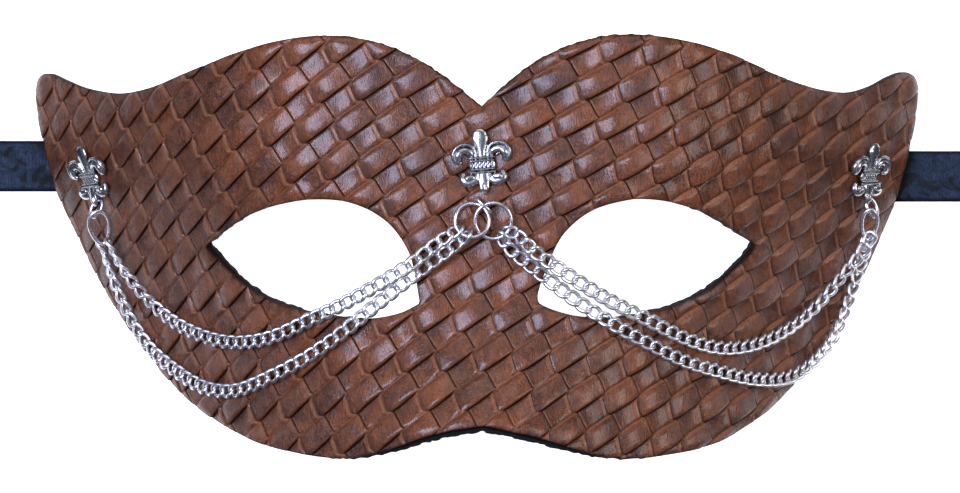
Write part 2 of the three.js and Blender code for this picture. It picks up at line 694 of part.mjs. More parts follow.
// The rolled-up length, as one thick ring that stands on its edge
function rollGeometry(side, y) {
  const profile = [
    [ROLL_INNER, 0], [ROLL_OUTER, 0], [ROLL_OUTER, RIBBON_WIDTH], [ROLL_INNER, RIBBON_WIDTH],
    [ROLL_INNER, 0],
  ].map(([r, z]) => new THREE.Vector2(r, z));
  const geometry = new THREE.LatheGeometry(profile, ROLL_SIDES);
  geometry.rotateX(Math.PI / 2);
  const middle = y - RIBBON_THICKNESS / 2 - GLUE_GAP - ROLL_OUTER;
  geometry.translate(side * ROLL_AT, middle, 0);
  return geometryOf(solidOfGeometry(geometry));
}

addPiece("mask_leather", leatherGeometry(), brownLeather);
addPiece("mask_lining", liningGeometry(), navyFelt);
const charm = charmSolid();
for (const [name, place] of Object.entries(CHARMS)) addPiece(name, charmGeometry(place), castMetal);
for (const [name, loop] of Object.entries(LOOPS)) addPiece(name, loopGeometry(loop), wireMetal);
addPiece("center_wire_link", wireLinkGeometry(WIRE_LINK), wireMetal);
for (const [name, route] of Object.entries(CHAIN_ROUTES))
  addPiece(name, chainGeometry(route), wireMetal);
for (const [word, side] of [["left", -1], ["right", 1]]) {
  addPiece(`ribbon_${word}`, ribbonGeometry(side, RIBBON_AT[word]), navyRibbon);
  addPiece(`ribbon_roll_${word}`, rollGeometry(side, RIBBON_AT[word]), navyRibbon);
}

export default mask;
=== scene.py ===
import math

import bpy
import numpy as np
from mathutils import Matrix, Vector
from mathutils.geometry import delaunay_2d_cdt
from mathutils.kdtree import KDTree


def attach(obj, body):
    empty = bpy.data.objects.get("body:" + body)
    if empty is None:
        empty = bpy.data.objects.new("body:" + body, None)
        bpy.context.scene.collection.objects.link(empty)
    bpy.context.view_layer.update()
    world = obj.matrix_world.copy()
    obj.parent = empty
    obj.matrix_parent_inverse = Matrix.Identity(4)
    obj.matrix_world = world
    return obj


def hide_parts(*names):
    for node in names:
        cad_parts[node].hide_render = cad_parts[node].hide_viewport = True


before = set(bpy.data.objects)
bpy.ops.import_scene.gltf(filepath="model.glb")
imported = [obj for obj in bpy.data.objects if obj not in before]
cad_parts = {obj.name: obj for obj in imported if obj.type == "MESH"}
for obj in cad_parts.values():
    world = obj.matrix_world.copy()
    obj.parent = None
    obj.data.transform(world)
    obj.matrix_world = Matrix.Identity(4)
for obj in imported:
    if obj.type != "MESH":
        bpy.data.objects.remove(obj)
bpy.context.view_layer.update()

MM = 0.001
BODY = "root"

# The sheet, as in the CAD model
SHEET_TOP = 51.25
SIDE_SLOPE = 1.19
BEND_START = 18
BEND_END = 76
FOLD_SHIFT = 0.7
TIPS_AT = 30
CHEEK_DROP = 20
CHEEK_TOP = 24
CHEEK_BOTTOM = -22
CHEEK_INNER = 8
CHEEK_OUTER = 74
NOSE_SLOPE = 0.47
NOSE_WIDTH = 20
NOSE_START = -4
NOSE_EASE = 25

# The weave, as in the CAD model: rows and steps at the middle and to a millimetre
MIDDLE_ROW = 2.79
ROWS_UP = -0.1285
ROW_ARCH = -0.000155
MIDDLE_STEP = 0.59
STEPS_ACROSS = 0.1215
STEPS_UP = 0.0683
STEPS_SKEW = 0.0001
STEPS_FAN = -0.00041
STEPS_GATHER = 0.0000054
LAST_STRIP = 25
LAST_HALF = 17

# Outline and eye holes, as in the CAD model
OUTLINE_LEFT = [
    [1, 27.9], [-5.3, 33], [-12.3, 37.6], [-20.3, 40.8], [-29.3, 42], [-38.3, 41.2],
    [-47.3, 38.8], [-58.3, 34.6], [-65.3, 31.8], [-71.7, 30.7], [-78.3, 31.7], [-82.9, 33.5],
    [-85.9, 34.8], [-88, 34.1], [-88.7, 31.4], [-88.3, 26.8], [-87.1, 20.8], [-84.5, 11.2],
    [-79.9, 1.4], [-75.9, -6.7], [-68.3, -18.7], [-57.7, -30.7], [-45.7, -38.2], [-35.3, -41.2],
    [-26.3, -42], [-17.3, -40.2], [-8.3, -37.2], [1.3, -35.5],
]
OUTLINE_RIGHT = [
    [1.3, -35.5], [11.7, -37.8], [19.7, -40.2], [27.7, -42], [36.7, -41.7], [48.9, -38.7],
    [60.7, -30.7], [70.3, -18.9], [77.3, -6.9], [81.3, 2], [84.7, 10.4], [87.3, 20.8],
    [88.5, 27.4], [88.8, 31.8], [87.8, 34.4], [85.7, 35.1], [82.7, 34], [79.1, 32.1],
    [74.3, 30.9], [67.7, 31.7], [59.7, 34.4], [51.7, 38], [42.7, 40.8], [32.7, 42.2],
    [23.7, 41.6], [14.7, 38.5], [8.3, 34.4], [1, 27.9],
]
EYE_LEFT_TOP = [
    [-54.1, 0.2], [-47.3, 5.2], [-41.3, 7.8], [-34.9, 9.2], [-28.3, 9.3], [-22.7, 7.9],
    [-17.7, 4.8], [-14.5, 0.8], [-12.7, -3.5], [-11.3, -11.2],
]
EYE_LEFT_BOTTOM = [
    [-11.3, -11.2], [-15.3, -13.2], [-20.9, -14.2], [-28.3, -13.8], [-35.3, -12.6],
    [-42.1, -10.2], [-48.1, -6.1], [-54.1, 0.2],
]
EYE_RIGHT_TOP = [
    [12.3, -11.1], [12.5, -8.2], [15.9, 0.2], [18.5, 3.8], [22.7, 7], [27.7, 8.8],
    [33.3, 9.5], [39.7, 8.6], [46.7, 6], [55.7, 0.4],
]
EYE_RIGHT_BOTTOM = [
    [55.7, 0.4], [53.3, -2.9], [47.3, -8.1], [41.1, -11.2], [34.3, -13.1], [27.1, -14.1],
    [20.3, -13.8], [15.1, -12.5], [12.3, -11.1],
]

# Charms, rings, links and chains: where they lie on the sheet
CHARM_LIFT = 0.85
# tarnish scales a charm's patina and painted shade; it is lower on the side charms to paint them
# lighter, as less light falls on them
CHARMS = {
    "charm_center": {"at": [1.1, 16.9], "towards": [-0.09, 1], "size": 1.0, "tarnish": 1.0},
    "charm_left": {"at": [-77.2, 14.3], "towards": [-0.3, 1], "size": 0.95, "tarnish": 0.7},
    "charm_right": {"at": [78.4, 14.8], "towards": [0.17, 1], "size": 0.95, "tarnish": 0.7},
}
# Rings and links: place, half sizes, lift, tilt and roll in radians, and upward direction
LOOPS = {
    "center_ring_left": ([-0.9, 5.25], [3.4, 3.4], 2.5, 0.17, 0, [0, 1]),
    "center_ring_right": ([3.3, 5.15], [3.6, 3.6], 2.5, -0.17, 0, [0, 1]),
    "side_small_link_left": ([-76.2, 7.8], [1.2, 1.9], 1.65, 0.6, 0, [0, 1]),
    "side_small_link_right": ([79.3, 7.9], [1.2, 1.9], 2, 0.55, 0, [0, 1]),
    "side_long_link_left": ([-75.5, 3.85], [2, 3.55], 3.05, 0, 0.95, [-0.18, 1]),
    "side_long_link_right": ([78.75, 4.4], [1.5, 3.3], 2.9, 0, -0.85, [0.12, 1]),
}
WIRE_LINK = {
    "at": [1.3, 8.35], "lift": 2.7, "along": [0.75, -0.66], "halves": [2.2, 1.3], "wire": 0.62,
}
CHAIN_LIFT = 1.72
OVER = 1.9
CHAIN_ROUTES = {
    "chain_upper_left": [
        [-73.95, 1.4, 1.8], [-71.7, -3.2, OVER], [-68.5, -7.5, 1.2], [-64.9, -11.5],
        [-60.7, -14.9], [-54.5, -17.9], [-48.1, -19.1], [-41.1, -18.1], [-33.9, -14.9],
        [-26.7, -11.5, 0.9], [-19.5, -7.5, OVER], [-12.5, -3.1, OVER], [-7.8, 0.8, OVER],
        [-5.4, 2.4, 1.6], [-3, 3.85, 1],
    ],
    "chain_lower_left": [
        [-75.8, 1.1, 0.85], [-74.5, -1.5, 0.5], [-73.7, -4.2, 0.1], [-71.7, -9.2],
        [-68.9, -15.2], [-65.3, -20.5], [-60.3, -24.7], [-54.5, -28.1], [-48.1, -28.7],
        [-41.1, -25.9], [-33.9, -22.1], [-26.7, -17.1], [-19.5, -11.2], [-12.5, -5.7],
        [-6.9, -1.6, 0.15], [-3.85, 0.55, 0.1], [-1.3, 2.7, 1.65],
    ],
    "chain_upper_right": [
        [79.35, 2.65, 2.25], [77.6, -0.75, OVER], [73.9, -5.2, 0.9], [68.7, -11.2],
        [62.7, -16.2], [55.5, -19.5], [48.5, -20.2], [41.3, -18.1], [34.1, -14.5],
        [26.9, -10.9, 0.6], [19.9, -6.7, OVER], [13.7, -2.5, OVER], [9.9, 0.4, 3],
        [8.5, 2.3, 1.1], [5.5, 3.5, 0.5],
    ],
    "chain_lower_right": [
        [78.65, 1.9, 0.7], [77.6, -1.7, 0.45], [76.1, -6.7], [74.3, -12.1], [71.7, -18.1],
        [67.7, -22.9], [62.7, -26.1], [55.5, -26.5], [48.5, -24.9], [41.3, -22.7],
        [34.1, -19.1], [26.9, -15.2], [19.9, -10.7], [13.7, -6.1], [8.9, -2.3, 0.1],
        [6, 0.15, 0.3], [4.55, 2.75, 0.4],
    ],
}

# Ribbons, as in the CAD model
RIBBON_WIDTH = 10.2
RIBBON_LAID_AT = 0.2
RIBBON_AT = {"left": 16.2, "right": 14.15}
GLUED_LIFT = -3.6
GLUED_AT = [72, 76, 79.5]
HALF_LAID = [79.2, 2.9]
LAID = [[80.4, 0.6], [81.4, RIBBON_LAID_AT], [91, RIBBON_LAID_AT]]
TWIST_STEPS = 5
TWIST_FROM = 103
TWIST_TO = 125
ROLL_AT = 132


# Numbers from 0 to 1 that look random but are the same each run, by mixing a cell's bits
MIX_I, MIX_J, MIX_SEED = 374761393, 668265263, 1274126177
MIX_SHIFTS = [(13, 1103515245), (16, 2246822519)]
LAST_SHIFT = 15
LOW_BITS = 0xFFFFFFFF
USED_BITS = 0xFFFFFF


def scatter(i, j, seed):
    whole, mask = np.uint64, np.uint64(LOW_BITS)
    h = np.asarray(i).astype(np.int64).astype(whole) * whole(MIX_I)
    h = h + np.asarray(j).astype(np.int64).astype(whole) * whole(MIX_J)
    h = (h + whole(seed) * whole(MIX_SEED)) & mask
    for shift, factor in MIX_SHIFTS:
        h = ((h ^ (h >> whole(shift))) * whole(factor)) & mask
    h = h ^ (h >> whole(LAST_SHIFT))
    return (h & whole(USED_BITS)).astype(float) / USED_BITS


# Smooth noise from 0 to 1 with cells one unit wide
def waves(x, y, seed):
    i = np.floor(x)
    j = np.floor(y)
    u = ease(x - i)
    v = ease(y - j)
    low = scatter(i, j, seed) * (1 - u) + scatter(i + 1, j, seed) * u
    high = scatter(i, j + 1, seed) * (1 - u) + scatter(i + 1, j + 1, seed) * u
    return low * (1 - v) + high * v


def ease(t):
    u = np.clip(t, 0, 1)
    return u * u * (3 - 2 * u)


# From 0 to 1 between two values, smoothly or straight
def ramp(value, start, stop):
    return ease((value - start) / (stop - start))


def slope(value, start, stop):
    return np.clip((value - start) / (stop - start), 0, 1)


def unit(v):
    return v / np.linalg.norm(v, axis=-1, keepdims=True)


# The sheet's height, its normal and points off it
NORMAL_STEP = 0.05
FOOT_ROUNDS = 6


def sheet_height(x, y):
    across = x - FOLD_SHIFT * ease((TIPS_AT - y) / TIPS_AT)
    away = np.abs(across)
    width = BEND_END - BEND_START
    u = np.clip((away - BEND_START) / width, 0, 1)
    bend = SIDE_SLOPE * (width * (u**3 - u**4 / 2) + np.maximum(away - BEND_END, 0))
    cheek = (
        CHEEK_DROP
        * ease((away - CHEEK_INNER) / (CHEEK_OUTER - CHEEK_INNER))
        * ease((CHEEK_TOP - y) / (CHEEK_TOP - CHEEK_BOTTOM))
    )
    below = np.maximum(NOSE_START - y, 0)
    rise = np.where(below < NOSE_EASE, below**2 / (2 * NOSE_EASE), below - NOSE_EASE / 2)
    nose = NOSE_SLOPE * np.exp(-((across / NOSE_WIDTH) ** 2)) * rise
    return SHEET_TOP - bend - cheek + nose


def sheet_normal(x, y):
    step = NORMAL_STEP
    along_x = (sheet_height(x + step, y) - sheet_height(x - step, y)) / (2 * step)
    along_y = (sheet_height(x, y + step) - sheet_height(x, y - step)) / (2 * step)
    return unit(np.stack([-along_x, -along_y, np.ones_like(along_x)], axis=-1))


def on_sheet(x, y, lift):
    x, y = np.asarray(x, float), np.asarray(y, float)
    foot = np.stack([x, y, sheet_height(x, y)], axis=-1)
    return foot + sheet_normal(x, y) * np.asarray(lift, float)[..., None]


def stand_off(x, y, lift):
    x, y, lift = (np.asarray(v, float) for v in (x, y, lift))
    fx, fy = x, y
    for _ in range(FOOT_ROUNDS):
        out = sheet_normal(fx, fy)
        fx, fy = x - lift * out[..., 0], y - lift * out[..., 1]
    return on_sheet(fx, fy, lift), sheet_normal(fx, fy)


# Curves through points
def hermite(p1, p2, m1, m2, t):
    return (2 * (p1 - p2) + m1 + m2) * t**3 + (3 * (p2 - p1) - 2 * m1 - m2) * t**2 + m1 * t + p1


def uniform_spline(points, per_point):
    points = np.array(points, float)
    last = len(points) - 1
    at = np.linspace(0, last, len(points) * per_point + 1)
    i = np.minimum(at.astype(int), last - 1)
    p0, p1 = points[np.maximum(i - 1, 0)], points[i]
    p2, p3 = points[i + 1], points[np.minimum(i + 2, last)]
    return hermite(p1, p2, (p2 - p0) / 2, (p3 - p1) / 2, (at - i)[:, None])


def centripetal_spline(points, per_point):
    points = np.array(points, float)
    ends = [2 * points[0] - points[1], *points, 2 * points[-1] - points[-2]]
    t = np.arange(per_point)[:, None] / per_point
    made = []
    for p0, p1, p2, p3 in zip(ends, ends[1:], ends[2:], ends[3:]):
        pairs = ((p0, p1), (p1, p2), (p2, p3))
        d = [max(math.sqrt(np.linalg.norm(b[:3] - a[:3])), 1e-4) for a, b in pairs]
        m1 = ((p1 - p0) / d[0] - (p2 - p0) / (d[0] + d[1]) + (p2 - p1) / d[1]) * d[1]
        m2 = ((p2 - p1) / d[1] - (p3 - p1) / (d[1] + d[2]) + (p3 - p2) / d[2]) * d[1]
        made.append(hermite(p1, p2, m1, m2, t))
    return np.concatenate([*made, points[-1:]])


# Lengths along a polyline up to each point, and points spread evenly along it, both by its first
# three columns
def reach_along(line):
    steps = np.linalg.norm(np.diff(line[:, :3], axis=0), axis=1)
    return np.concatenate([[0], np.cumsum(steps)])


def spaced(line, count):
    at = reach_along(line)
    wanted = np.linspace(0, at[-1], count)
    return np.stack([np.interp(wanted, at, column) for column in line.T], axis=1)


def circle(count):
    return 2 * np.pi * np.arange(count) / count


# Objects
def placed(name, data):
    made = bpy.data.objects.new(name, data)
    bpy.context.scene.collection.objects.link(made)
    return made


def add_mesh(name, points, faces, material, node, fields=None, crease=None):
    mesh = bpy.data.meshes.new(name)
    mesh.from_pydata((np.asarray(points) * MM).tolist(), [], faces)
    mesh.validate()
    mesh.shade_smooth()
    if crease is not None:
        mesh.set_sharp_from_angle(angle=math.radians(crease))
    for key, values in (fields or {}).items():
        mesh.attributes.new(key, "FLOAT", "POINT").data.foreach_set("value", values)
    mesh.materials.append(material)
    piece = placed(name, mesh)
    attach(piece, BODY)
    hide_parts(*([node] if isinstance(node, str) else node))
    return piece


# Quads between the rings of a tube, with rows of points_per_ring points
def ring_faces(rings, per_ring, closed):
    a = np.arange(rings * per_ring).reshape(rings, per_ring)
    b = np.roll(a, -1, axis=0)
    quads = np.stack([a, b, np.roll(b, -1, axis=1), np.roll(a, -1, axis=1)], axis=-1)
    return quads[:rings if closed else -1].reshape(-1, 4).tolist()


# A round wire along a closed line. out is a direction that the line is never parallel to.
def closed_wire(line, radius, sides, out):
    along = unit(np.roll(line, -1, axis=0) - np.roll(line, 1, axis=0))
    side = unit(np.cross(np.broadcast_to(out, along.shape), along))
    up = np.cross(along, side)
    turn = circle(sides)
    ring = side[:, None] * np.cos(turn)[None, :, None] + up[:, None] * np.sin(turn)[None, :, None]
    points = (line[:, None] + radius * ring).reshape(-1, 3)
    return points, ring_faces(len(line), sides, True)


def frame_on(out, towards):
    up = np.array([towards[0], towards[1], 0.0])
    up[2] = -(out[0] * up[0] + out[1] * up[1]) / out[2]
    up = unit(up)
    return np.cross(up, out), up, out


def turned(v, axis, angle):
    return (
        v * math.cos(angle)
        + np.cross(axis, v) * math.sin(angle)
        + axis * np.dot(axis, v) * (1 - math.cos(angle))
    )


# Materials
def add_node(tree, kind, inputs=None, **settings):
    made = tree.nodes.new("ShaderNode" + kind)
    for key, value in settings.items():
        setattr(made, key, value)
    for key, value in (inputs or {}).items():
        if isinstance(value, bpy.types.NodeSocket):
            tree.links.new(value, made.inputs[key])
        else:
            made.inputs[key].default_value = value
    return made


class Finish:
    """A material with a Principled shader, and short ways to add nodes to it."""

    def __init__(self, name, **sockets):
        self.material = bpy.data.materials.new(name)
        self.material.use_nodes = True
        self.tree = self.material.node_tree
        self.shader = self.tree.nodes["Principled BSDF"]
        for key, value in sockets.items():
            self.shader.inputs[key.replace("_", " ")].default_value = value

    def node(self, kind, inputs=None, **settings):
        return add_node(self.tree, kind, inputs, **settings)

    def field(self, name):
        return self.node("Attribute", attribute_name=name, attribute_type="GEOMETRY").outputs["Fac"]

    def place(self):
        return self.node("TexCoord").outputs["Object"]

    def stretched(self, cells_mm, degrees):
        inputs = {
            "Vector": self.place(), "Scale": [1 / (cell * MM) for cell in cells_mm],
            "Rotation": (0, 0, math.radians(degrees)),
        }
        return self.node("Mapping", inputs).outputs["Vector"]

    def noise(self, cell_mm, detail=3, roughness=0.5, vector=None, distortion=0.0):
        inputs = {
            "Scale": 1 / (cell_mm * MM) if vector is None else 1.0, "Detail": detail,
            "Roughness": roughness, "Distortion": distortion,
            "Vector": self.place() if vector is None else vector,
        }
        return self.node("TexNoise", inputs).outputs["Fac"]

    def span(self, value, low, high, to_low=0.0, to_high=1.0):
        inputs = {
            "Value": value, "From Min": low, "From Max": high, "To Min": to_low, "To Max": to_high,
        }
        return self.node("MapRange", inputs, clamp=True).outputs["Result"]

    def math(self, operation, a, b):
        return self.node("Math", {0: a, 1: b}, operation=operation).outputs[0]

    def times(self, a, b):
        return self.math("MULTIPLY", a, b)

    # The colours' sockets of a mix node follow those of its other kinds of value
    def blend(self, share, a, b):
        return self.node("Mix", {0: share, 6: a, 7: b}, data_type="RGBA").outputs[2]

    def bump(self, height, depth_mm, strength=1.0, under=None):
        inputs = {"Height": height, "Distance": depth_mm * MM, "Strength": strength}
        if under is not None:
            inputs["Normal"] = under
        return self.node("Bump", inputs).outputs["Normal"]

    def give(self, **sockets):
        for key, value in sockets.items():
            self.tree.links.new(value, self.shader.inputs[key.replace("_", " ")])
        return self.material


# A linear colour from sRGB levels, 0 to 255
def colour(*levels):
    shares = [level / 255 for level in levels]
    linear = [c / 12.92 if c < 0.0404 else ((c + 0.055) / 1.055) ** 2.4 for c in shares]
    return (*linear, 1.0)


def leather_finish():
    f = Finish("leather", Coat_Roughness=0.14)
    tone, low, wear_and_highlight, gap_shade_and_edge, side = map(f.field, ("tone", "low", "wear_and_highlight", "gap_shade_and_edge", "side"))
    broad = f.noise(9, detail=2)
    fine = f.noise(1.6, detail=5, roughness=0.6)
    mixed = f.math("ADD", f.times(tone, 0.2), f.times(broad, 0.8))
    mixed = f.math("ADD", mixed, f.times(f.math("SUBTRACT", fine, 0.5), 1.2))
    base = f.blend(f.span(mixed, 0.25, 0.8), colour(80, 41, 22), colour(142, 77, 37))
    # Painted shade: the low field darkens the floats' left ends, the squares under the floats above
    # and the mask's far sides
    base = f.blend(f.span(low, 0.0, 1.0, 0.0, 0.5), base, colour(44, 28, 26))
    # Tan: worn leather on the ridges and bevels, and painted highlights on rims and float ends
    base = f.blend(f.times(wear_and_highlight, 0.85), base, colour(158, 104, 74))
    # Painted shade: near-black in the slits and the grooves under the floats; at the rims it is the
    # dark cut edge
    base = f.blend(gap_shade_and_edge, base, colour(8, 7, 10))
    wrinkles = f.node(
        "TexVoronoi", {"Vector": f.place(), "Scale": 1 / (0.8 * MM), "Randomness": 1.0},
        feature="DISTANCE_TO_EDGE",
    ).outputs["Distance"]
    wrinkles = f.span(wrinkles, 0.0, 0.16)
    patches = f.span(f.noise(3.2, detail=2), 0.42, 0.6)
    cracks = f.times(f.math("SUBTRACT", 1.0, wrinkles), patches)
    across = f.stretched((0.9, 2.2, 1.2), 30)
    creases = f.noise(1, detail=5, roughness=0.6, vector=across, distortion=1.2)
    fine_across = f.stretched((0.3, 1.3, 0.5), -50)
    streaks = f.noise(1, detail=3, roughness=0.6, vector=fine_across, distortion=0.6)
    streaks = f.span(streaks, 0.42, 0.58)
    normal = f.bump(f.noise(0.42, detail=4, roughness=0.65), 0.11, 0.8)
    normal = f.bump(creases, 0.6, 1.0, normal)
    normal = f.bump(f.math("SUBTRACT", 1.0, cracks), 0.1, 0.8, normal)
    normal = f.bump(streaks, 0.07, 0.8, normal)
    glaze = f.bump(streaks, 0.009, 1.0, f.bump(creases, 0.035, 1.0))
    rough = f.span(f.noise(2.4, detail=4), 0.3, 0.7, 0.26, 0.4)
    rough = f.math("MAXIMUM", rough, f.times(gap_shade_and_edge, 0.8))
    matt = f.math("MAXIMUM", gap_shade_and_edge, f.times(wear_and_highlight, 0.55))
    matt = f.math("MAXIMUM", matt, f.times(side, 0.5))
    gloss = f.times(f.math("SUBTRACT", 1.0, matt), 0.5)
    return f.give(
        Base_Color=base, Roughness=rough, Normal=normal, Coat_Normal=glaze, Coat_Weight=gloss,
        Specular_IOR_Level=gloss,
    )


def felt_finish():
    f = Finish(
        "felt", Roughness=0.95, Specular_IOR_Level=0.1, Sheen_Weight=0.05, Sheen_Roughness=0.6,
    )
    fibres = f.noise(0.35, detail=6, roughness=0.75, distortion=1.5)
    clumps = f.noise(2.2, detail=3)
    base = f.blend(f.span(clumps, 0.3, 0.75), colour(6, 13, 16), colour(13, 25, 32))
    base = f.blend(f.span(fibres, 0.55, 0.85), base, colour(34, 48, 58))
    return f.give(Base_Color=base, Normal=f.bump(fibres, 0.25, 0.8))


def silver_finish(name, bright, dark, rough):
    f = Finish(name, Metallic=1.0)
    patina_and_shade = f.field("patina_and_shade")
    tarnish = f.span(f.noise(1.3, detail=4, roughness=0.6), 0.35, 0.75)
    base = f.blend(tarnish, bright, tuple(0.86 * c for c in bright[:3]) + (1.0,))
    # Patina in hollows and dullness on wires; on the charms also painted shade at their undersides
    base = f.blend(patina_and_shade, base, dark)
    scratches = f.noise(0.25, detail=3)
    roughness = f.span(scratches, 0.3, 0.7, rough, rough + 0.1)
    roughness = f.math("ADD", roughness, f.times(patina_and_shade, 0.35))
    return f.give(Base_Color=base, Roughness=roughness, Normal=f.bump(scratches, 0.01, 0.15))


def ribbon_finish():
    f = Finish("ribbon", Specular_IOR_Level=0.2, Sheen_Weight=0.03, Sheen_Roughness=0.4)
    blotches = f.noise(3.4, detail=4, roughness=0.6, distortion=0.8)
    small = f.noise(0.9, detail=4, roughness=0.7, distortion=1.0)
    base = f.blend(f.span(small, 0.35, 0.7), colour(11, 26, 41), colour(31, 51, 77))
    base = f.blend(f.span(blotches, 0.5, 0.62), base, colour(3, 11, 15))
    # Painted shade: large dark patches standing for the shade of the ribbon's folds
    fold_shade = f.noise(8, detail=2, roughness=0.4, distortion=1.5)
    base = f.blend(f.span(fold_shade, 0.56, 0.62, 0.0, 0.8), base, colour(9, 16, 22))
    base = f.blend(f.field("edge"), base, colour(17, 14, 34))
    threads = f.node(
        "TexWave", {"Vector": f.place(), "Scale": 1 / (2.2 * MM), "Distortion": 0.6, "Detail": 2.0},
        wave_type="BANDS", bands_direction="X",
    ).outputs["Fac"]
    normal = f.bump(small, 0.22, 0.7)
    normal = f.bump(threads, 0.03, 0.4, normal)
    return f.give(Base_Color=base, Roughness=f.span(blotches, 0.4, 0.65, 0.42, 0.62), Normal=normal)


leather = leather_finish()
felt = felt_finish()
cast_silver = silver_finish("cast_silver", (0.56, 0.57, 0.59, 1), (0.01, 0.01, 0.014, 1), 0.2)
wire_silver = silver_finish("wire_silver", (0.90, 0.90, 0.93, 1), (0.06, 0.06, 0.07, 1), 0.26)
ring_silver = silver_finish("ring_silver", (0.88, 0.86, 0.95, 1), (0.06, 0.05, 0.09, 1), 0.2)
ribbon_cloth = ribbon_finish()

# The camera looks straight down from far away. The photograph's frame is 192 mm wide.
CAMERA_LENS = 800
SENSOR = 36
CLIP_END = 20
VIEW_MIDDLE = (0.0007, 0.00005)
VIEW_WIDTH = 0.192
VIEW_PLANE = 0.025
camera_data = bpy.data.cameras.new("camera")
camera_data.lens = CAMERA_LENS
camera_data.sensor_width = SENSOR
camera_data.clip_end = CLIP_END
camera = placed("camera", camera_data)
camera.location = (*VIEW_MIDDLE, VIEW_PLANE + VIEW_WIDTH * CAMERA_LENS / SENSOR)
bpy.context.scene.camera = camera


# Ribbons: first the stretch from the mask to the roll, then the roll's turns
RIBBON_LENGTH = 450
RIBBON_THICK = 0.24
ROLL_START = 23.2
TURN_SPACING = 3.7
RIBBON_ACROSS = 11
LAID_PER_STATION = 14
ROLL_POINTS = 330
HEM_START = 0.86
ABOVE_TABLE = 0.01
# Crinkles: their depth, their size along and across the ribbon, and a seed
CRINKLES = [(0.34, 2.6, 2.1, 11), (0.16, 0.9, 1.3, 21)]


def ribbon_line(side, y):
    half = RIBBON_WIDTH / 2
    flat, edge = np.array([0.0, 1, 0]), np.array([0.0, 0, 1])
    stations = []
    for away in GLUED_AT:
        lower = on_sheet(side * away, y - half, GLUED_LIFT)
        upper = on_sheet(side * away, y + half, GLUED_LIFT)
        stations.append([*(lower + upper) / 2, *unit(upper - lower)])
    hinge = unit(np.array(stations[-1][3:]) + flat)
    stations.append([side * HALF_LAID[0], y, HALF_LAID[1], *hinge])
    stations += [[side * away, y, z, *flat] for away, z in LAID]
    for i in range(TWIST_STEPS + 1):
        angle = math.pi / 2 * i / TWIST_STEPS
        away = TWIST_FROM + (TWIST_TO - TWIST_FROM) * i / TWIST_STEPS
        z = half * math.sin(angle) + RIBBON_LAID_AT * math.cos(angle)
        stations.append([side * away, y, z, 0, math.cos(angle), math.sin(angle)])
    stations.append([side * ROLL_AT, y, half, *edge])
    laid = centripetal_spline(stations, LAID_PER_STATION)
    inwards = TURN_SPACING / (2 * math.pi)
    left_over = RIBBON_LENGTH - reach_along(laid)[-1]
    last_radius = math.sqrt(ROLL_START**2 - 2 * inwards * left_over)
    turns = np.linspace(0, (ROLL_START - last_radius) / inwards, ROLL_POINTS)[1:]
    radius = ROLL_START - inwards * turns
    roll = np.zeros((len(turns), 6))
    roll[:, 0] = side * (ROLL_AT + radius * np.sin(turns))
    roll[:, 1] = y - ROLL_START + radius * np.cos(turns)
    roll[:, 2], roll[:, 5] = half, 1
    return np.concatenate([laid, roll])


for word, side in (("left", -1), ("right", 1)):
    line = ribbon_line(side, RIBBON_AT[word])
    middle, width = line[:, :3], unit(line[:, 3:])
    along = unit(np.gradient(middle, axis=0))
    through = unit(np.cross(along, width)) * side
    width = np.cross(through * side, along)
    u = np.linspace(-1, 1, RIBBON_ACROSS)
    grid_s, grid_u = np.meshgrid(reach_along(middle), u * RIBBON_WIDTH / 2, indexing="ij")
    crinkle = sum(
        depth * (waves(grid_s / long, grid_u / wide, seed + side) - 0.5)
        for depth, long, wide, seed in CRINKLES
    )
    laid = middle[:, None] + width[:, None] * grid_u[..., None]
    sides = []
    for face, lowest in ((1, RIBBON_THICK), (-1, 0.0)):
        lifted = laid + through[:, None] * (crinkle + face * RIBBON_THICK / 2)[..., None]
        lifted[..., 2] = np.maximum(lifted[..., 2], lowest + ABOVE_TABLE)
        sides.append(lifted)
    ring = np.concatenate([sides[0], sides[1][:, ::-1]], axis=1)
    rings, per_ring = ring.shape[:2]
    faces = ring_faces(rings, per_ring, False)
    for first, order in ((0, -1), ((rings - 1) * per_ring, 1)):
        for a in range(RIBBON_ACROSS - 1):
            b = per_ring - 2 - a
            faces.append([first + i for i in (a, a + 1, b, b + 1)][::order])
    if side < 0:
        faces = [face[::-1] for face in faces]
    hem = np.concatenate([np.abs(u), np.abs(u[::-1])])
    hem = np.broadcast_to(ramp(hem, HEM_START, 1), (rings, per_ring))
    piece = add_mesh(
        f"tie_ribbon_{word}", ring.reshape(-1, 3), faces, ribbon_cloth,
        [f"ribbon_{word}", f"ribbon_roll_{word}"], {"edge": hem.ravel()},
    )


# The plan of the mask: closed lines of points, the outline first
RIM_PER_POINT = 14
RIM_SAMPLES = 4
BATCH = 4000
rims = [
    np.concatenate([uniform_spline(half, RIM_PER_POINT)[:-1] for half in halves])
    for halves in (
        (OUTLINE_LEFT, OUTLINE_RIGHT), (EYE_LEFT_TOP, EYE_LEFT_BOTTOM),
        (EYE_RIGHT_TOP, EYE_RIGHT_BOTTOM),
    )
]
closed_rims = [np.vstack([rim, rim[:1]]) for rim in rims]


def inside(points):
    result = np.zeros(len(points), bool)
    x1, y1 = np.concatenate(rims).T
    x2, y2 = np.concatenate([np.roll(rim, -1, axis=0) for rim in rims]).T
    for low in range(0, len(points), BATCH):
        x, y = points[low:low + BATCH, 0, None], points[low:low + BATCH, 1, None]
        crossing = (y1 > y) != (y2 > y)
        where = x1 + (y - y1) * (x2 - x1) / np.where(y2 == y1, 1, y2 - y1)
        result[low:low + BATCH] = (crossing & (x < where)).sum(axis=1) % 2 == 1
    return result


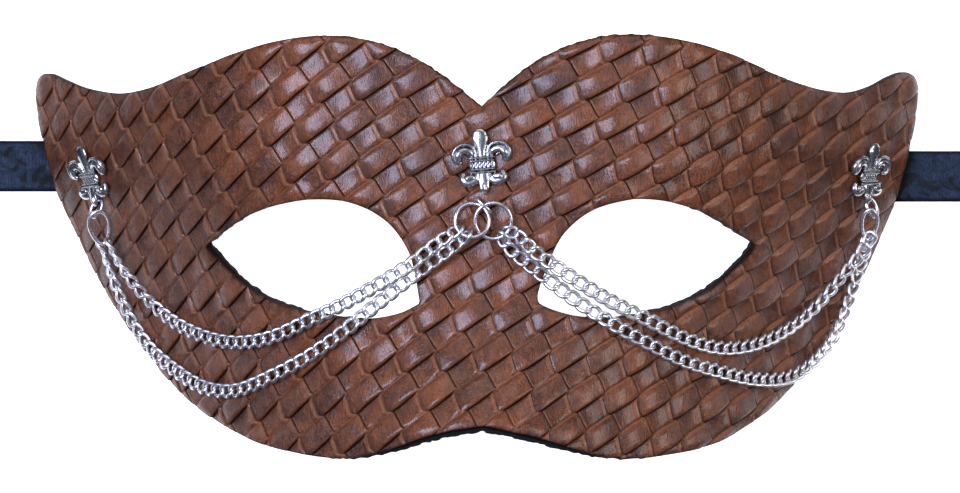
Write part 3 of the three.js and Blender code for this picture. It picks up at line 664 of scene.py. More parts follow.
rim_line = np.concatenate([
    uniform_spline(rim, RIM_SAMPLES)[:-RIM_SAMPLES] for rim in closed_rims
])
rim_tree = KDTree(len(rim_line))
for i, (x, y) in enumerate(rim_line):
    rim_tree.insert((x, y, 0), i)
rim_tree.balance()


def rim_distance(points):
    return np.array([rim_tree.find((x, y, 0))[2] for x, y in points])


# Weave coordinates of plan points, and back by Newton's method. Points without any are far off.
NEWTON_ROUNDS = 40
LONGEST_STEP = 20
NEAR_ENOUGH = 1e-3
FAR_OFF = 999


def weave_at(x, y):
    row = MIDDLE_ROW + ROWS_UP * y + ROW_ARCH * x * x
    step = (
        MIDDLE_STEP + STEPS_ACROSS * x + STEPS_UP * y + STEPS_SKEW * x * x
        + STEPS_FAN * x * y + STEPS_GATHER * x**3
    )
    return -(step + 2 * row), step / 2


def weave_point(strip, run):
    x = (run - MIDDLE_STEP / 2) / STEPS_ACROSS
    y = np.zeros_like(x)
    for _ in range(NEWTON_ROUNDS):
        s, r = weave_at(x, y)
        step_x = STEPS_ACROSS + 2 * STEPS_SKEW * x + STEPS_FAN * y + 3 * STEPS_GATHER * x * x
        step_y = STEPS_UP + STEPS_FAN * x
        a, b = -(step_x + 4 * ROW_ARCH * x), -(step_y + 2 * ROWS_UP)
        c, d = step_x / 2, step_y / 2
        det = a * d - b * c
        ds, dr = strip - s, run - r
        x = x + np.clip((ds * d - b * dr) / det, -LONGEST_STEP, LONGEST_STEP)
        y = y + np.clip((a * dr - c * ds) / det, -LONGEST_STEP, LONGEST_STEP)
    s, r = weave_at(x, y)
    lost = (np.abs(s - strip) > NEAR_ENOUGH) | (np.abs(r - run) > NEAR_ENOUGH)
    return np.where(lost, FAR_OFF, x), np.where(lost, FAR_OFF, y)


# Samples across a strip, from its lower edge, and along each float and each square, from its left
ACROSS = np.array([0, 0.02, 0.06, 0.14, 0.26, 0.4, 0.55, 0.7, 0.82, 0.89, 0.935, 0.985])
ALONG = np.array([
    0, 0.012, 0.03, 0.055, 0.1, 0.17, 0.26, 0.37, 0.5, 0.62, 0.73, 0.82, 0.865, 0.895, 0.94, 0.98,
])
# Where a float starts and stops along its strip, at places across it. Its start at 0 is half a
# step less than its stop at 1, and its stop at 0 half a step more than its start at 1.
FLOAT_START = [
    [0, 0.03, 0.08, 0.16, 0.86, 0.93, 1], [0.035, 0.012, -0.006, -0.015, 0.025, 0.04, 0.1],
]
FLOAT_STOP = [[0, 0.06, 0.14, 0.86, 0.93, 1], [0.6, 0.588, 0.582, 0.578, 0.572, 0.535]]
# Heights: a float's rise along its first half and its section across the strip, as shares of its
# crest, and a square's height along it
CREST = 0.85
FLOAT_FOOT = 0.02
FLOAT_FALL = 0.36
FLOAT_END_DROP = 0.12
FLOAT_RISE = [
    [0, 0.03, 0.055, 0.1, 0.17, 0.26, 0.37, 0.5], [0, 0.17, 0.27, 0.42, 0.62, 0.81, 0.95, 1],
]
FLOAT_SECTION = [
    [0, 0.02, 0.06, 0.14, 0.3, 0.6, 0.82, 0.89, 0.935, 0.985, 1],
    [0.5, 0.78, 0.92, 0.98, 1, 0.97, 0.86, 0.62, 0.36, 0.08, 0.05],
]
CORNER_LEFT = 0.2
GROOVE = -0.6
SLIT = -0.4
SQUARE_HEIGHT = [
    [0, 0.012, 0.03, 0.055, 0.1, 0.3, 0.5, 0.73, 0.82, 0.865, 0.895, 0.94, 0.98, 1],
    [SLIT, 0.14, 0.22, 0.22, 0.16, 0, 0, 0.16, 0.26, 0.42, 0.39, 0.42, 0.08, 0],
]
SQUARE_SIDE_RISE = 0.2
SQUARE_FOOT = 0.04
# The first and last points along a float or square, which stand in the slits
AT_START = 0.006
AT_END = 0.975
# How much of the relief is left, how open the slits are, and how much highlight is painted on the
# right ends of the floats, at places across the mask
RELIEF_SHARE = [[-86, -50, 10, 40, 65, 86], [0.6, 1, 1, 1.3, 1.2, 0.8]]
SLIT_SHARE = [[-80, -45, 0], [0.25, 0.5, 1]]
TAIL_SHARE = [[-80, -60, -30, 10], [0.8, 1, 0.6, 0]]
# Where the tan bevel at a float's upper edge, worn leather with a painted highlight, starts across
# the strip, at places across the mask
BEVEL_START = [[-60, -10, 20, 60], [0.97, 0.93, 0.9, 0.82]]
BEVEL_WIDTH = 0.05
# Wear along a square's raised right end, and a painted highlight along a float's right end
RIDGE_WORN = [[0.82, 0.865, 0.895, 0.94, 0.98], [0, 0.9, 0.45, 1, 0]]
TAIL_HIGHLIGHT = [[0.84, 0.93, 0.97, 1], [0, 0.8, 0.8, 0]]
# How far out on the matt sides the leather is, at distances from the mask's middle, and how much
# shade is painted there as a darker colour
SIDE_SHARE = [[40, 80], [0, 1]]
SIDE_PAINTED_SHADE = 0.6
# Waves that bend the strips and dent them: their height and their size
WANDER, WANDER_SIZE = 0.22, 4.3
DENTS, DENT_SIZE = 0.14, 1.9
# How much the floats differ in height
FLOAT_LOWEST, FLOAT_SPREAD = 0.82, 0.36
# Points beyond this are off the mask
HALF_WIDTH, HALF_HEIGHT = 92, 46
CUT_ROUNDS = 14


# Heights at v, a share of a strip's width, and f, a share of a float's or square's length
def float_relief(v, f):
    rise = np.interp(f, *FLOAT_RISE)
    length = FLOAT_FOOT + (CREST - FLOAT_FOOT) * rise - FLOAT_FALL * ramp(f, 0.5, 1)
    corner = ease(f / 0.06 + v / 0.2)
    height = length * np.interp(v, *FLOAT_SECTION) * (CORNER_LEFT + (1 - CORNER_LEFT) * corner)
    return height - FLOAT_END_DROP * ramp(f, 0.955, 1)


def square_relief(v, f):
    slit_ends = np.where(f < AT_START, ramp(v, 0.1, 0.05) + ramp(v, 0.97, 1), 0)
    length = np.interp(f, *SQUARE_HEIGHT) * (1 - np.clip(slit_ends, 0, 1))
    foot = ramp(v, 0, 0.1)
    height = (length + SQUARE_SIDE_RISE * (1 - ramp(v, 0, 0.8))) * foot + SQUARE_FOOT * (1 - foot)
    under = ramp(v, 0.7, 0.97) * (1 - ramp(f, 0.86, 0.94))
    groove = slope(v, 0.86, 0.985) ** 2 * (1 - ramp(f, 0.87, 0.96))
    return height * (1 - under / 2) + GROOVE * groove


# A grid of points over the whole weave: their places, heights and the fields of their finish
def weave_grid():
    strips = np.arange(-LAST_STRIP, LAST_STRIP)
    halves = np.arange(-LAST_HALF, LAST_HALF)
    r0 = np.repeat(strips, len(ACROSS))[:, None]
    v = np.tile(ACROSS, len(strips))[:, None]
    k = np.repeat(halves, len(ALONG))[None, :]
    f = np.tile(ALONG, len(halves))[None, :]
    float_start = np.interp(v, *FLOAT_START)
    float_stop = np.interp(v, *FLOAT_STOP)

    # Where the breaks between floats and squares stand along strip r0, at v across it
    def break_run(index):
        whole, is_stop = np.floor(index / 2), index % 2 == 1
        even_row = whole + np.where(is_stop, float_stop, float_start)
        odd_row = whole + np.where(is_stop, 0.5 + float_start, float_stop - 0.5)
        return np.where(r0 % 2 == 0, even_row, odd_row)

    low, high = break_run(k), break_run(k + 1)
    run = low + (high - low) * f
    x, y = weave_point(np.broadcast_to(r0 + v, run.shape), run)
    x = x + WANDER * (waves(x / WANDER_SIZE + 50, y / WANDER_SIZE + 50, 1) - 0.5)
    y = y + WANDER * (waves(x / WANDER_SIZE + 90, y / WANDER_SIZE + 20, 2) - 0.5)

    is_float = (k + r0) % 2 == 0
    v, f = np.broadcast_to(v, run.shape), np.broadcast_to(f, run.shape)
    chance = scatter(r0 + 100, k + 100, 3)
    float_height = float_relief(v, f) * (FLOAT_LOWEST + FLOAT_SPREAD * chance)
    height = np.where(is_float, float_height, square_relief(v, f))
    body = slope(v, 0.04, 0.14) * slope(v, 0.9, 0.8) * slope(f, 0, 0.1)
    height = height + DENTS * body * (waves(x / DENT_SIZE, y / DENT_SIZE, 4) - 0.5)
    height = height * np.interp(x, *RELIEF_SHARE)

    at_start, slit_share = f < AT_START, np.interp(x, *SLIT_SHARE)
    # Painted shade in the slits at the ends of floats and squares, and in the groove under the
    # float above
    float_gap_shade = slit_share * np.maximum(0.6 * (f > AT_END) * slope(v, 0.02, 0.06), 0.35 * at_start)
    groove = slope(v, 0.92, 0.96) * (1 - ramp(f, 0.86, 0.92))
    square_gap_shade = np.maximum(groove, slit_share * at_start * slope(v, 0.03, 0.06))

    # The tan bevel at a float's upper edge is worn leather with a painted highlight; edge and lip
    # are painted highlights on the float's lower rim and the square's left rim, and tail is one on
    # the float's right end
    bevel_start = np.interp(x, *BEVEL_START)
    bevel = 0.8 * ramp(v, bevel_start, bevel_start + BEVEL_WIDTH)
    edge = 0.5 * ramp(v, 0.05, 0.02) * ramp(f, 0.1, 0.2)
    tail = np.interp(f, *TAIL_HIGHLIGHT) * slope(v, 0.1, 0.3) * np.interp(x, *TAIL_SHARE)
    lip = 0.35 * ramp(f, 0.075, 0.045) * (f > AT_START)
    float_wear_and_highlight = np.maximum(np.maximum(bevel, edge), tail)
    square_wear_and_highlight = np.maximum(np.interp(f, *RIDGE_WORN), lip)

    side = np.interp(np.abs(x), *SIDE_SHARE)
    # Painted shade: darker at a float's low left end, on the upper part of a square under the float
    # above, and out on the mask's sides
    painted_shade = np.where(is_float, 0.75 * ramp(f, 0.2, 0), ramp(v, 0.35, 0.85) * ramp(f, 0.86, 0.56))
    return x, y, height, {
        "gap_shade_and_edge": np.where(is_float, float_gap_shade, square_gap_shade),
        "wear_and_highlight": np.where(is_float, float_wear_and_highlight, square_wear_and_highlight),
        "low": np.maximum(painted_shade, SIDE_PAINTED_SHADE * side),
        "tone": np.broadcast_to(chance, run.shape),
        "side": side,
    }


# The part of a grid inside the rims: a row for each point, of its x, y and values, then the faces,
# and for each point on a rim the one that follows it
def cut_at_rims(x, y, values):
    near = (np.abs(x) < HALF_WIDTH) & (np.abs(y) < HALF_HEIGHT)
    kept = np.zeros(x.shape, bool)
    kept[near] = inside(np.stack([x[near], y[near]], axis=1))
    flat_kept = kept.ravel()
    stack = np.stack([column.ravel() for column in (x, y, *values)], axis=1)
    corner = np.arange(x.size).reshape(x.shape)
    quads = np.stack([corner[:-1, :-1], corner[:-1, 1:], corner[1:, 1:], corner[1:, :-1]], axis=-1)
    quads = quads.reshape(-1, 4)
    number = flat_kept[quads].sum(axis=1)
    full, mixed = quads[number == 4], quads[(number > 0) & (number < 4)]
    sides = np.stack([mixed, np.roll(mixed, -1, axis=1)], axis=-1).reshape(-1, 2)
    sides = sides[flat_kept[sides].sum(axis=1) == 1]
    edges = np.unique(np.where(flat_kept[sides[:, :1]], sides, sides[:, ::-1]), axis=0)
    a, b = stack[edges[:, 0]], stack[edges[:, 1]]
    low_t, high_t = np.zeros(len(edges)), np.ones(len(edges))
    for _ in range(CUT_ROUNDS):
        middle_t = (low_t + high_t) / 2
        within = inside((a + (b - a) * middle_t[:, None])[:, :2])
        low_t, high_t = np.where(within, middle_t, low_t), np.where(within, high_t, middle_t)
    cuts = a + (b - a) * low_t[:, None]
    used = np.unique(np.concatenate([full.ravel(), mixed[flat_kept[mixed]]]))
    index = np.full(x.size, -1)
    index[used] = np.arange(len(used))
    points = np.concatenate([stack[used], cuts])
    cut_index = {tuple(edge): len(used) + i for i, edge in enumerate(edges.tolist())}
    faces = index[full].tolist()
    onward = {}
    for quad in mixed.tolist():
        loop, leaving, arriving = [], [], []
        for a, b in zip(quad, quad[1:] + quad[:1]):
            if flat_kept[a]:
                loop.append(int(index[a]))
            if flat_kept[a] != flat_kept[b]:
                cut = cut_index[(a, b) if flat_kept[a] else (b, a)]
                loop.append(cut)
                (leaving if flat_kept[a] else arriving).append(cut)
        if len(leaving) == 1:
            faces.append(loop)
            onward[leaving[0]] = arriving[0]
        else:
            for i, a in enumerate(quad):
                if flat_kept[a]:
                    before = cut_index[(a, quad[i - 1])]
                    after = cut_index[(a, quad[(i + 1) % 4])]
                    faces.append([int(index[a]), after, before])
                    onward[after] = before
    return points, faces, onward


def loops_of(onward):
    left, loops = dict(onward), []
    while left:
        start = next(iter(left))
        loop, at = [start], left.pop(start)
        while at != start:
            loop.append(at)
            at = left.pop(at)
        loops.append(loop)
    return loops


# For each point of closed loops that are put end to end, the number of the one that follows it
def following(loops):
    starts = np.cumsum([0] + [len(loop) for loop in loops])
    return np.concatenate([
        start + np.roll(np.arange(len(loop)), -1) for start, loop in zip(starts, loops)
    ])


# Quads between rows of points, one row below the other, along closed loops
def wall_faces(rows, onwards):
    return np.concatenate([
        np.stack([upper[onwards], upper, lower, lower[onwards]], axis=1)
        for upper, lower in zip(rows, rows[1:])
    ]).tolist()


# Triangles of the mask's plan between loops of points, with a plain grid of points inside. Also
# says which point of the loops each corner is, from 0, if it is one.
def plan_faces(loops, spacing, clear):
    rim_points = np.concatenate(loops)
    gx, gy = np.meshgrid(np.arange(-90, 90, spacing), np.arange(-44, 44, spacing))
    gx = gx + 0.5 * spacing * (np.arange(gx.shape[0]) % 2)[:, None]
    inner = np.stack([gx.ravel(), gy.ravel()], axis=1)
    inner = inner[inside(inner)]
    inner = inner[rim_distance(inner) > clear]
    edges = list(enumerate(following(loops).tolist()))
    everything = np.concatenate([rim_points, inner])
    out = delaunay_2d_cdt([Vector(p) for p in everything], edges, [], 1, 1e-6)
    corners = np.array([v[:] for v in out[0]])
    triangles = np.array(out[2])
    triangles = triangles[inside(corners[triangles].mean(axis=1))]
    source = np.array([ids[0] if ids else -1 for ids in out[3]])
    return corners, triangles, source, (source >= 0) & (source < len(rim_points))


# Leather: the relief in front, a plain back, and walls along the rims, which are dark
LEATHER_THICKNESS = 1.0
WALL_LIFTS = [-0.45, -LEATHER_THICKNESS]
BACK_SPACING, BACK_CLEAR = 5.0, 1.5
RIM_SEAM = 0.9
x, y, height, fields = weave_grid()
points, faces, onward = cut_at_rims(x, y, [height, *fields.values()])
rim_loops = loops_of(onward)
plan = points[:, :2]
rim_order = np.concatenate(rim_loops)
near_rim = rim_distance(plan)
height = points[:, 2] * (0.4 + 0.6 * ramp(near_rim, 0, 1.2)) - 0.16 * slope(near_rim, 0.5, 0) ** 2
stacked = [on_sheet(*plan.T, height)]
rows = [rim_order]
for lift in WALL_LIFTS:
    rows.append(sum(map(len, stacked)) + np.arange(len(rim_order)))
    stacked.append(on_sheet(*plan[rim_order].T, lift))
corners, triangles, source, is_rim = plan_faces(
    [plan[loop] for loop in rim_loops], BACK_SPACING, BACK_CLEAR
)
start = sum(map(len, stacked))
to_mesh = np.where(is_rim, rows[-1][0] + source, start + np.cumsum(~is_rim) - 1)
stacked.append(on_sheet(*corners[~is_rim].T, -LEATHER_THICKNESS))
faces += to_mesh[triangles][:, ::-1].tolist() + wall_faces(rows, following(rim_loops))
everything = np.concatenate(stacked)
extra = len(everything) - len(points)
fields = {name: np.append(points[:, 3 + i], np.zeros(extra)) for i, name in enumerate(fields)}
at_rim = np.append(slope(near_rim, 0.3, 0), np.ones(extra))
fields["gap_shade_and_edge"] = np.maximum(fields["gap_shade_and_edge"], RIM_SEAM * at_rim)
add_mesh("woven_leather", everything, faces, leather, "mask_leather", fields, crease=55)

# Lining: a felt sheet with a ragged cut edge, just behind the leather. It is trimmed at the upper
# tips and where the sheet leans out at the eye holes.
LINING_FRONT = -1.04
LINING_MIDDLE = -1.9
LINING_BACK = -2.7
TIP_TRIM = 0.9
EYE_TRIM = 0.9
FELT_SPACING, FELT_CLEAR = 1.9, 0.8
FELT_EDGE = 0.45
felt_loops = [
    spaced(rim, int(reach_along(rim)[-1] / FELT_EDGE))[:-1] for rim in closed_rims
]
corners, triangles, source, is_rim = plan_faces(felt_loops, FELT_SPACING, FELT_CLEAR)
outwards = []
for loop in felt_loops:
    tangent = unit(np.roll(loop, -1, axis=0) - np.roll(loop, 1, axis=0))
    outwards.append(np.stack([tangent[:, 1], -tangent[:, 0]], axis=1))
outwards = np.concatenate(outwards)
leaning = -(sheet_normal(*np.concatenate(felt_loops).T)[:, :2] * outwards).sum(axis=1)
leaning[:len(felt_loops[0])] = 0
cx, cy = corners.T
amount = 0.34 * (waves(cx / 0.7 + 40, cy / 0.7 + 40, 31) - 0.35)
amount += 0.2 * (waves(cx / 2.3, cy / 2.3, 32) - 0.5)
amount -= TIP_TRIM * ramp(np.abs(cx), 64, 69) * ramp(cy, 24, 28)
amount[is_rim] -= EYE_TRIM * np.clip(leaning[source[is_rim]], 0, 1)
ragged = np.zeros((len(corners), 2))
ragged[is_rim] = outwards[source[is_rim]] * amount[is_rim, None]
lumps = 0.16 * (waves(cx / 2.4, cy / 2.4, 33) - 0.5) + 0.1 * (waves(cx / 0.9, cy / 0.9, 34) - 0.5)
front = on_sheet(cx, cy, LINING_FRONT)
middle = on_sheet(*(corners + ragged).T, LINING_MIDDLE)
back = on_sheet(*(corners + 1.2 * ragged).T, LINING_BACK + lumps)
everything = np.concatenate([front, middle[is_rim], back])
everything[:, 2] = np.maximum(everything[:, 2], ABOVE_TABLE)
n, rim_count = len(corners), is_rim.sum()
rim_at = np.empty(rim_count, int)
rim_at[source[is_rim]] = np.flatnonzero(is_rim)
rows = [rim_at, n + np.cumsum(is_rim)[rim_at] - 1, n + rim_count + rim_at]
faces = triangles.tolist() + (n + rim_count + triangles)[:, ::-1].tolist()
faces += wall_faces(rows, following(felt_loops))
add_mesh("felt_backing", everything, faces, felt, "mask_lining", crease=60)

# Charms: flattened tubes, joined in a fine grid of voxels. A stroke is a list of
# x, y, height of its middle, half width, half thickness.
VOXEL = 0.1
MIRRORED = [
    # outer rim of the upper curl
    [[1.2, 0.75, 0.6, 0.34, 0.62], [1.35, 2.2, 0.72, 0.32, 0.64], [1.9, 3.2, 0.82, 0.32, 0.66],
     [2.85, 3.65, 0.85, 0.34, 0.68], [4, 3.6, 0.85, 0.36, 0.7], [5, 3.05, 0.85, 0.38, 0.72],
     [5.6, 2.1, 0.8, 0.42, 0.7], [5.6, 1.05, 0.7, 0.46, 0.62], [5, 0.25, 0.6, 0.5, 0.52],
     [4.3, 0.1, 0.5, 0.42, 0.4]],
    # its broad inner lip
    [[1.8, 0.8, 0.5, 0.4, 0.45], [2.15, 1.9, 0.75, 0.58, 0.55], [3, 2.45, 0.9, 0.66, 0.6],
     [4, 2.3, 0.95, 0.74, 0.64], [4.6, 1.6, 0.95, 0.8, 0.7], [4.65, 0.9, 0.85, 0.72, 0.62]],
    # its web
    [[1.6, 0.8, 0.3, 0.5, 0.45], [2, 2.4, 0.35, 0.62, 0.5], [3.2, 3.1, 0.4, 0.7, 0.5],
     [4.6, 2.6, 0.4, 0.75, 0.5], [5.1, 1.4, 0.35, 0.6, 0.45]],
    # its tip
    [[2.85, 1.15, 0.4, 0.16, 0.2], [3.4, 1.5, 0.45, 0.16, 0.2], [3.95, 1.2, 0.4, 0.16, 0.2]],
    # lower curl and its ball
    [[0.9, -2.2, 0.5, 0.6, 0.6], [1.3, -3.2, 0.55, 0.8, 0.7], [2.2, -3.95, 0.6, 0.88, 0.78],
     [3.3, -3.95, 0.6, 0.92, 0.8], [4, -3.3, 0.6, 0.86, 0.75], [3.95, -2.5, 0.5, 0.72, 0.6]],
    [[2.2, -3, 0.95, 0.56, 0.55], [3.2, -3.1, 1.05, 0.68, 0.6]],
    # rim beside the top petal's stem
    [[1, 0.8, 0.75, 0.2, 0.36], [1.15, 2, 0.85, 0.2, 0.38], [1.5, 3.2, 0.85, 0.2, 0.36]],
    # fold of the bottom petal
    [[0.95, -2.4, 0.85, 0.3, 0.4], [0.9, -3.4, 0.95, 0.32, 0.45], [0.5, -4.4, 1.1, 0.3, 0.4]],
]
SINGLE = [
    # top petal
    [[0, 0.7, 0.8, 0.7, 0.36], [0, 2.2, 0.9, 0.84, 0.36], [0, 3.3, 0.95, 1.2, 0.4],
     [0, 4.1, 0.95, 1.55, 0.46], [0, 4.8, 0.95, 1.64, 0.5], [0, 5.15, 0.9, 1.55, 0.5]],
    # bottom petal and its drop
    [[0, -2.4, 0.8, 1.1, 0.45], [0, -3.5, 1, 1.12, 0.45], [0, -4.6, 1.2, 1.1, 0.42],
     [0, -5.3, 1.3, 1, 0.4], [0, -5.75, 1.3, 0.8, 0.36]],
    [[0.1, -4.7, 1.55, 0.42, 0.45], [0.15, -5.5, 1.6, 0.5, 0.45]],
]
# Right ends of the band and its four raised edges, whose left ends mirror them
BAND = [
    [1.3, -0.65, 0.45, 1.4, 0.55], [2.45, 0.8, 1, 0.17, 0.5], [2.35, 0.24, 1.05, 0.16, 0.46],
    [2.35, -1.5, 1.05, 0.16, 0.46], [2.5, -2.06, 1, 0.17, 0.5],
]
# Pairs of crossed wires on the band: their number and their lower ends
CROSSINGS = 5
CROSS_FROM, CROSS_SPAN = -2.1, 3.2
# Samples of a bent stroke from one of its points to the next, and of a straight one
BENT_SAMPLES, STRAIGHT_SAMPLES = 8, 12
CAP_ANGLES = (85, 60, 30)
STROKE_SIDES = 14
SMOOTH_ROUNDS, HOLLOW_ROUNDS = 5, 14


def tube(stroke):
    stroke = np.array(stroke, float)
    if len(stroke) > 2:
        stroke = uniform_spline(stroke, BENT_SAMPLES)
    else:
        stroke = np.linspace(*stroke, STRAIGHT_SAMPLES)
    along = unit(np.gradient(stroke[:, :2], axis=0))
    caps = [(math.sin(a), math.cos(a)) for a in map(math.radians, CAP_ANGLES)]
    rings = [(stroke[0], along[0], -reach, share) for reach, share in caps]
    rings += [(s, d, 0.0, 1.0) for s, d in zip(stroke, along)]
    rings += [(stroke[-1], along[-1], reach, share) for reach, share in caps[::-1]]
    turn = circle(STROKE_SIDES)
    points = []
    for s, d, reach, share in rings:
        centre = np.array([*(s[:2] + d * reach * s[3]), s[2]])
        across = np.array([-d[1], d[0], 0])
        ring = centre + np.outer(np.cos(turn) * s[3] * share, across)
        ring[:, 2] += np.sin(turn) * s[4] * share
        points.append(ring)
    points = np.concatenate(points)
    faces = ring_faces(len(rings), STROKE_SIDES, False)
    faces.append(tuple(range(STROKE_SIDES))[::-1])
    faces.append(tuple(range(len(points) - STROKE_SIDES, len(points))))
    return points, [face[::-1] for face in faces]


def charm_mesh():
    strokes = SINGLE + [[[-x, *others], [x, *others]] for x, *others in BAND]
    for stroke in MIRRORED:
        strokes += [stroke, [[-x, *others] for x, *others in stroke]]
    for i in range(CROSSINGS):
        left = CROSS_FROM + i * CROSS_SPAN / (CROSSINGS - 1)
        for a, b in ((left, left + 1), (left + 1, left)):
            strokes.append([[a, -1.2, 1.0, 0.13, 0.16], [b, -0.08, 1.0, 0.13, 0.16]])
    points, faces = [], []
    for stroke in strokes:
        p, q = tube(stroke)
        start = sum(map(len, points))
        points.append(p)
        faces += [tuple(start + i for i in face) for face in q]
    mesh = bpy.data.meshes.new("strokes")
    mesh.from_pydata(np.concatenate(points).tolist(), [], faces)
    rough = placed("strokes", mesh)
    remesh = rough.modifiers.new("voxels", "REMESH")
    remesh.mode = "VOXEL"
    remesh.voxel_size = VOXEL
    shaped = rough.evaluated_get(bpy.context.evaluated_depsgraph_get()).to_mesh()
    points = np.array([vertex.co[:] for vertex in shaped.vertices])
    faces = [tuple(polygon.vertices) for polygon in shaped.polygons]
    edges = np.array([tuple(edge.vertices) for edge in shaped.edges])
    bpy.data.objects.remove(rough)
    bpy.data.meshes.remove(mesh)
    return points, faces, edges


# Points moved halfway to the middle of their neighbours, several times
def relaxed(points, edges, rounds):
    degree = np.bincount(edges.ravel(), minlength=len(points))[:, None]
    for _ in range(rounds):
        total = np.zeros_like(points)
        for a, b in (edges.T, edges.T[::-1]):
            np.add.at(total, a, points[b])
        points = points + (total / degree - points) / 2
    return points


charm_points, charm_faces, charm_edges = charm_mesh()
charm_points = relaxed(charm_points, charm_edges, SMOOTH_ROUNDS)
smoothed = relaxed(charm_points, charm_edges, HOLLOW_ROUNDS)
# Patina in the charm's hollows
patina_and_shade = ease(((smoothed - charm_points)[:, 2] + 0.005) / 0.05)
# Painted shade: darker towards the charm's underside, as a contact shadow
patina_and_shade = np.maximum(patina_and_shade, 0.75 * ease((0.5 - charm_points[:, 2]) / 0.5))
charm_points[:, 2] = np.maximum(charm_points[:, 2], 0)
for name, place in CHARMS.items():
    point, out = stand_off(*place["at"], CHARM_LIFT)
    axes = np.stack(frame_on(out, place["towards"]))
    add_mesh(
        "cast_" + name, point + place["size"] * charm_points @ axes, charm_faces, cast_silver,
        name, {"patina_and_shade": place["tarnish"] * patina_and_shade},
    )


# Rings and links of round wire
VISIBLE_WIRE = 0.8
LOOP_POINTS = 72
LOOP_SIDES = 14
# How much wider a long link is at its top, and as much narrower at its foot
NARROWING = 0.22


def loop_line(center, right, up, halves, narrow=0.0):
    turn = circle(LOOP_POINTS)
    wide = halves[0] * (1 + narrow * np.sin(turn))
    return center + np.outer(np.cos(turn) * wide, right) + np.outer(np.sin(turn) * halves[1], up)


def add_wire(name, line, wire, out, node):
    points, faces = closed_wire(line, wire / 2, LOOP_SIDES, out)
    cells = np.arange(len(line)) / 5
    dull = np.repeat(0.15 * waves(cells, 0 * cells, len(name)), LOOP_SIDES)
    add_mesh(name, points, faces, ring_silver, node, {"patina_and_shade": dull})


for name, (at, halves, lift, tilt, roll, towards) in LOOPS.items():
    point, out = stand_off(*at, lift)
    right, up, out = frame_on(out, towards)
    up, out = turned(up, right, -tilt), turned(out, right, -tilt)
    right, out = turned(right, up, roll), turned(out, up, roll)
    line = loop_line(point, right, up, halves, NARROWING if "long" in name else 0)
    add_wire("wire_" + name, line, VISIBLE_WIRE, out, name)

point = stand_off(*WIRE_LINK["at"], WIRE_LINK["lift"])[0]
right = unit(np.array([*WIRE_LINK["along"], 0.0]))
up = np.array([0.0, 0, 1])
line = loop_line(point, right, up, WIRE_LINK["halves"])
add_wire("tie_link_center", line, WIRE_LINK["wire"], np.cross(right, up), "center_wire_link")

# Curb chains: twisted links of round wire, each through the next
PITCH = 2.66
LINK_HALF_LENGTH = 1.61
LINK_HALF_WIDTH = 1.16
LINK_TWIST = 0.42
LINK_WIRE = 0.82
LINK_POINTS = 28
LINK_SIDES = 8
END_ROLL = 0.68
ROLLED_LINKS = 3
ROLL_SPREAD, DULL_SPREAD = 0.16, 0.18
VISIBLE_LIFT = CHAIN_LIFT - 0.12
ROUTE_SAMPLES = 40
turn = circle(LINK_POINTS)
line = np.stack([
    LINK_HALF_LENGTH * np.cos(turn), LINK_HALF_WIDTH * np.sin(turn), -LINK_TWIST * np.sin(2 * turn),
], axis=1)
link_points, link_faces = closed_wire(line, LINK_WIRE / 2, LINK_SIDES, np.array([0.0, 0, 1]))
for number, (name, route) in enumerate(CHAIN_ROUTES.items()):
    stations = [stand_off(x, y, VISIBLE_LIFT + sum(more))[0] for x, y, *more in route]
    curve = centripetal_spline(stations, ROUTE_SAMPLES)
    links = round(reach_along(curve)[-1] / PITCH)
    joints = spaced(curve, links + 1)
    points, faces, dull = [], [], []
    for i in range(links):
        from_end = min(i, links - 1 - i)
        turn = END_ROLL if i == from_end else -END_ROLL
        roll = turn * max(1 - from_end / ROLLED_LINKS, 0)
        roll += ROLL_SPREAD * (scatter(i, number, 5) - 0.5)
        step, centre = joints[i + 1] - joints[i], (joints[i] + joints[i + 1]) / 2
        axis = unit(step)
        out = turned(stand_off(*centre[:2], VISIBLE_LIFT)[1], axis, roll)
        across = unit(np.cross(out, axis))
        axes = np.stack([axis, across, np.cross(axis, across)])
        stretch = np.linalg.norm(step) / PITCH
        points.append(centre + (link_points * [stretch, 1, 1]) @ axes)
        faces += [tuple(i * len(link_points) + j for j in face) for face in link_faces]
        dull.append(np.full(len(link_points), DULL_SPREAD * float(scatter(i, number, 6))))
    add_mesh(
        "curb_" + name, np.concatenate(points), faces, wire_silver, name,
        {"patina_and_shade": np.concatenate(dull)},
    )

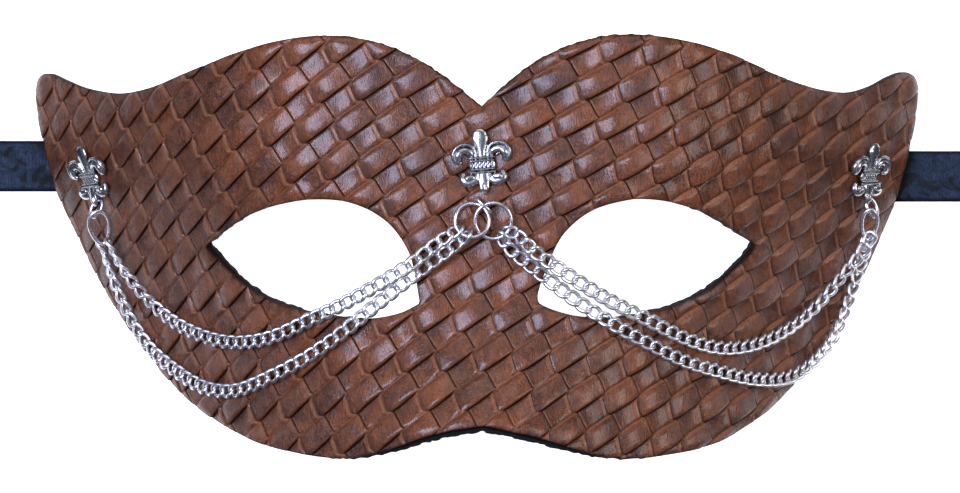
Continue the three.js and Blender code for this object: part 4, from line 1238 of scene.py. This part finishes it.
# Studio: a small white floor, a dim dome, a key box at the left, a weak fill at the right and one
# beyond the top edge. A box has a distance, degrees aside and forward, a size, a power and a tint.
FLOOR_HALF = (0.106, 0.058)
FLOOR_Z = -0.0004
FLOOR_GLOW = 0.95
BOXES = {
    "key": (1.1, -23.5, 6, (0.51, 0.56), 14.3, (0.66, 0.72, 1.0)),
    "fill": (1.2, 52, 5, (0.6, 0.6), 5.0, (1.0, 0.95, 0.92)),
    "top": (1.2, 4, 48, (1.1, 0.4), 2.0, (1.0, 0.98, 0.95)),
}
# Colours of the dome from its foot to overhead
DOME = [(0.0, (0.1, 0.1, 0.12, 1)), (0.55, (0.19, 0.195, 0.215, 1)), (0.97, (0.14, 0.14, 0.16, 1))]
DOME_STRENGTH = 0.8
floor_mesh = bpy.data.meshes.new("floor")
floor_mesh.from_pydata([
    (x * FLOOR_HALF[0], y * FLOOR_HALF[1], FLOOR_Z) for x, y in ((-1, -1), (1, -1), (1, 1), (-1, 1))
], [], [(0, 1, 2, 3)])
white = Finish(
    "floor", Base_Color=(0.9, 0.9, 0.9, 1), Roughness=0.9, Emission_Color=(1, 1, 1, 1),
    Emission_Strength=FLOOR_GLOW,
)
floor_mesh.materials.append(white.material)
placed("floor", floor_mesh)

for name, (away, aside, forward, size, power, tint) in BOXES.items():
    data = bpy.data.lights.new(name, "AREA")
    data.shape = "RECTANGLE"
    data.size, data.size_y = size
    data.energy = power
    data.color = tint
    a, b = math.radians(aside), math.radians(forward)
    place = Vector((math.sin(a), math.sin(b), math.cos(a) * math.cos(b))).normalized() * away
    light = placed(name, data)
    light.location = place
    light.rotation_mode = "QUATERNION"
    light.rotation_quaternion = place.to_track_quat("Z", "Y")
    light.visible_camera = False

world = bpy.data.worlds.new("dome")
world.use_nodes = True
bpy.context.scene.world = world
tree = world.node_tree
parts = add_node(tree, "SeparateXYZ", {0: add_node(tree, "TexCoord").outputs["Generated"]})
colours = add_node(tree, "ValToRGB", {"Fac": parts.outputs["Z"]})
tree.links.new(colours.outputs["Color"], tree.nodes["Background"].inputs["Color"])
colours.color_ramp.elements.new(DOME[1][0])
for stop, (position, tint) in zip(colours.color_ramp.elements, DOME):
    stop.position, stop.color = position, tint
tree.nodes["Background"].inputs["Strength"].default_value = DOME_STRENGTH

view = bpy.context.scene.view_settings
view.view_transform = "Standard"
view.look = "None"
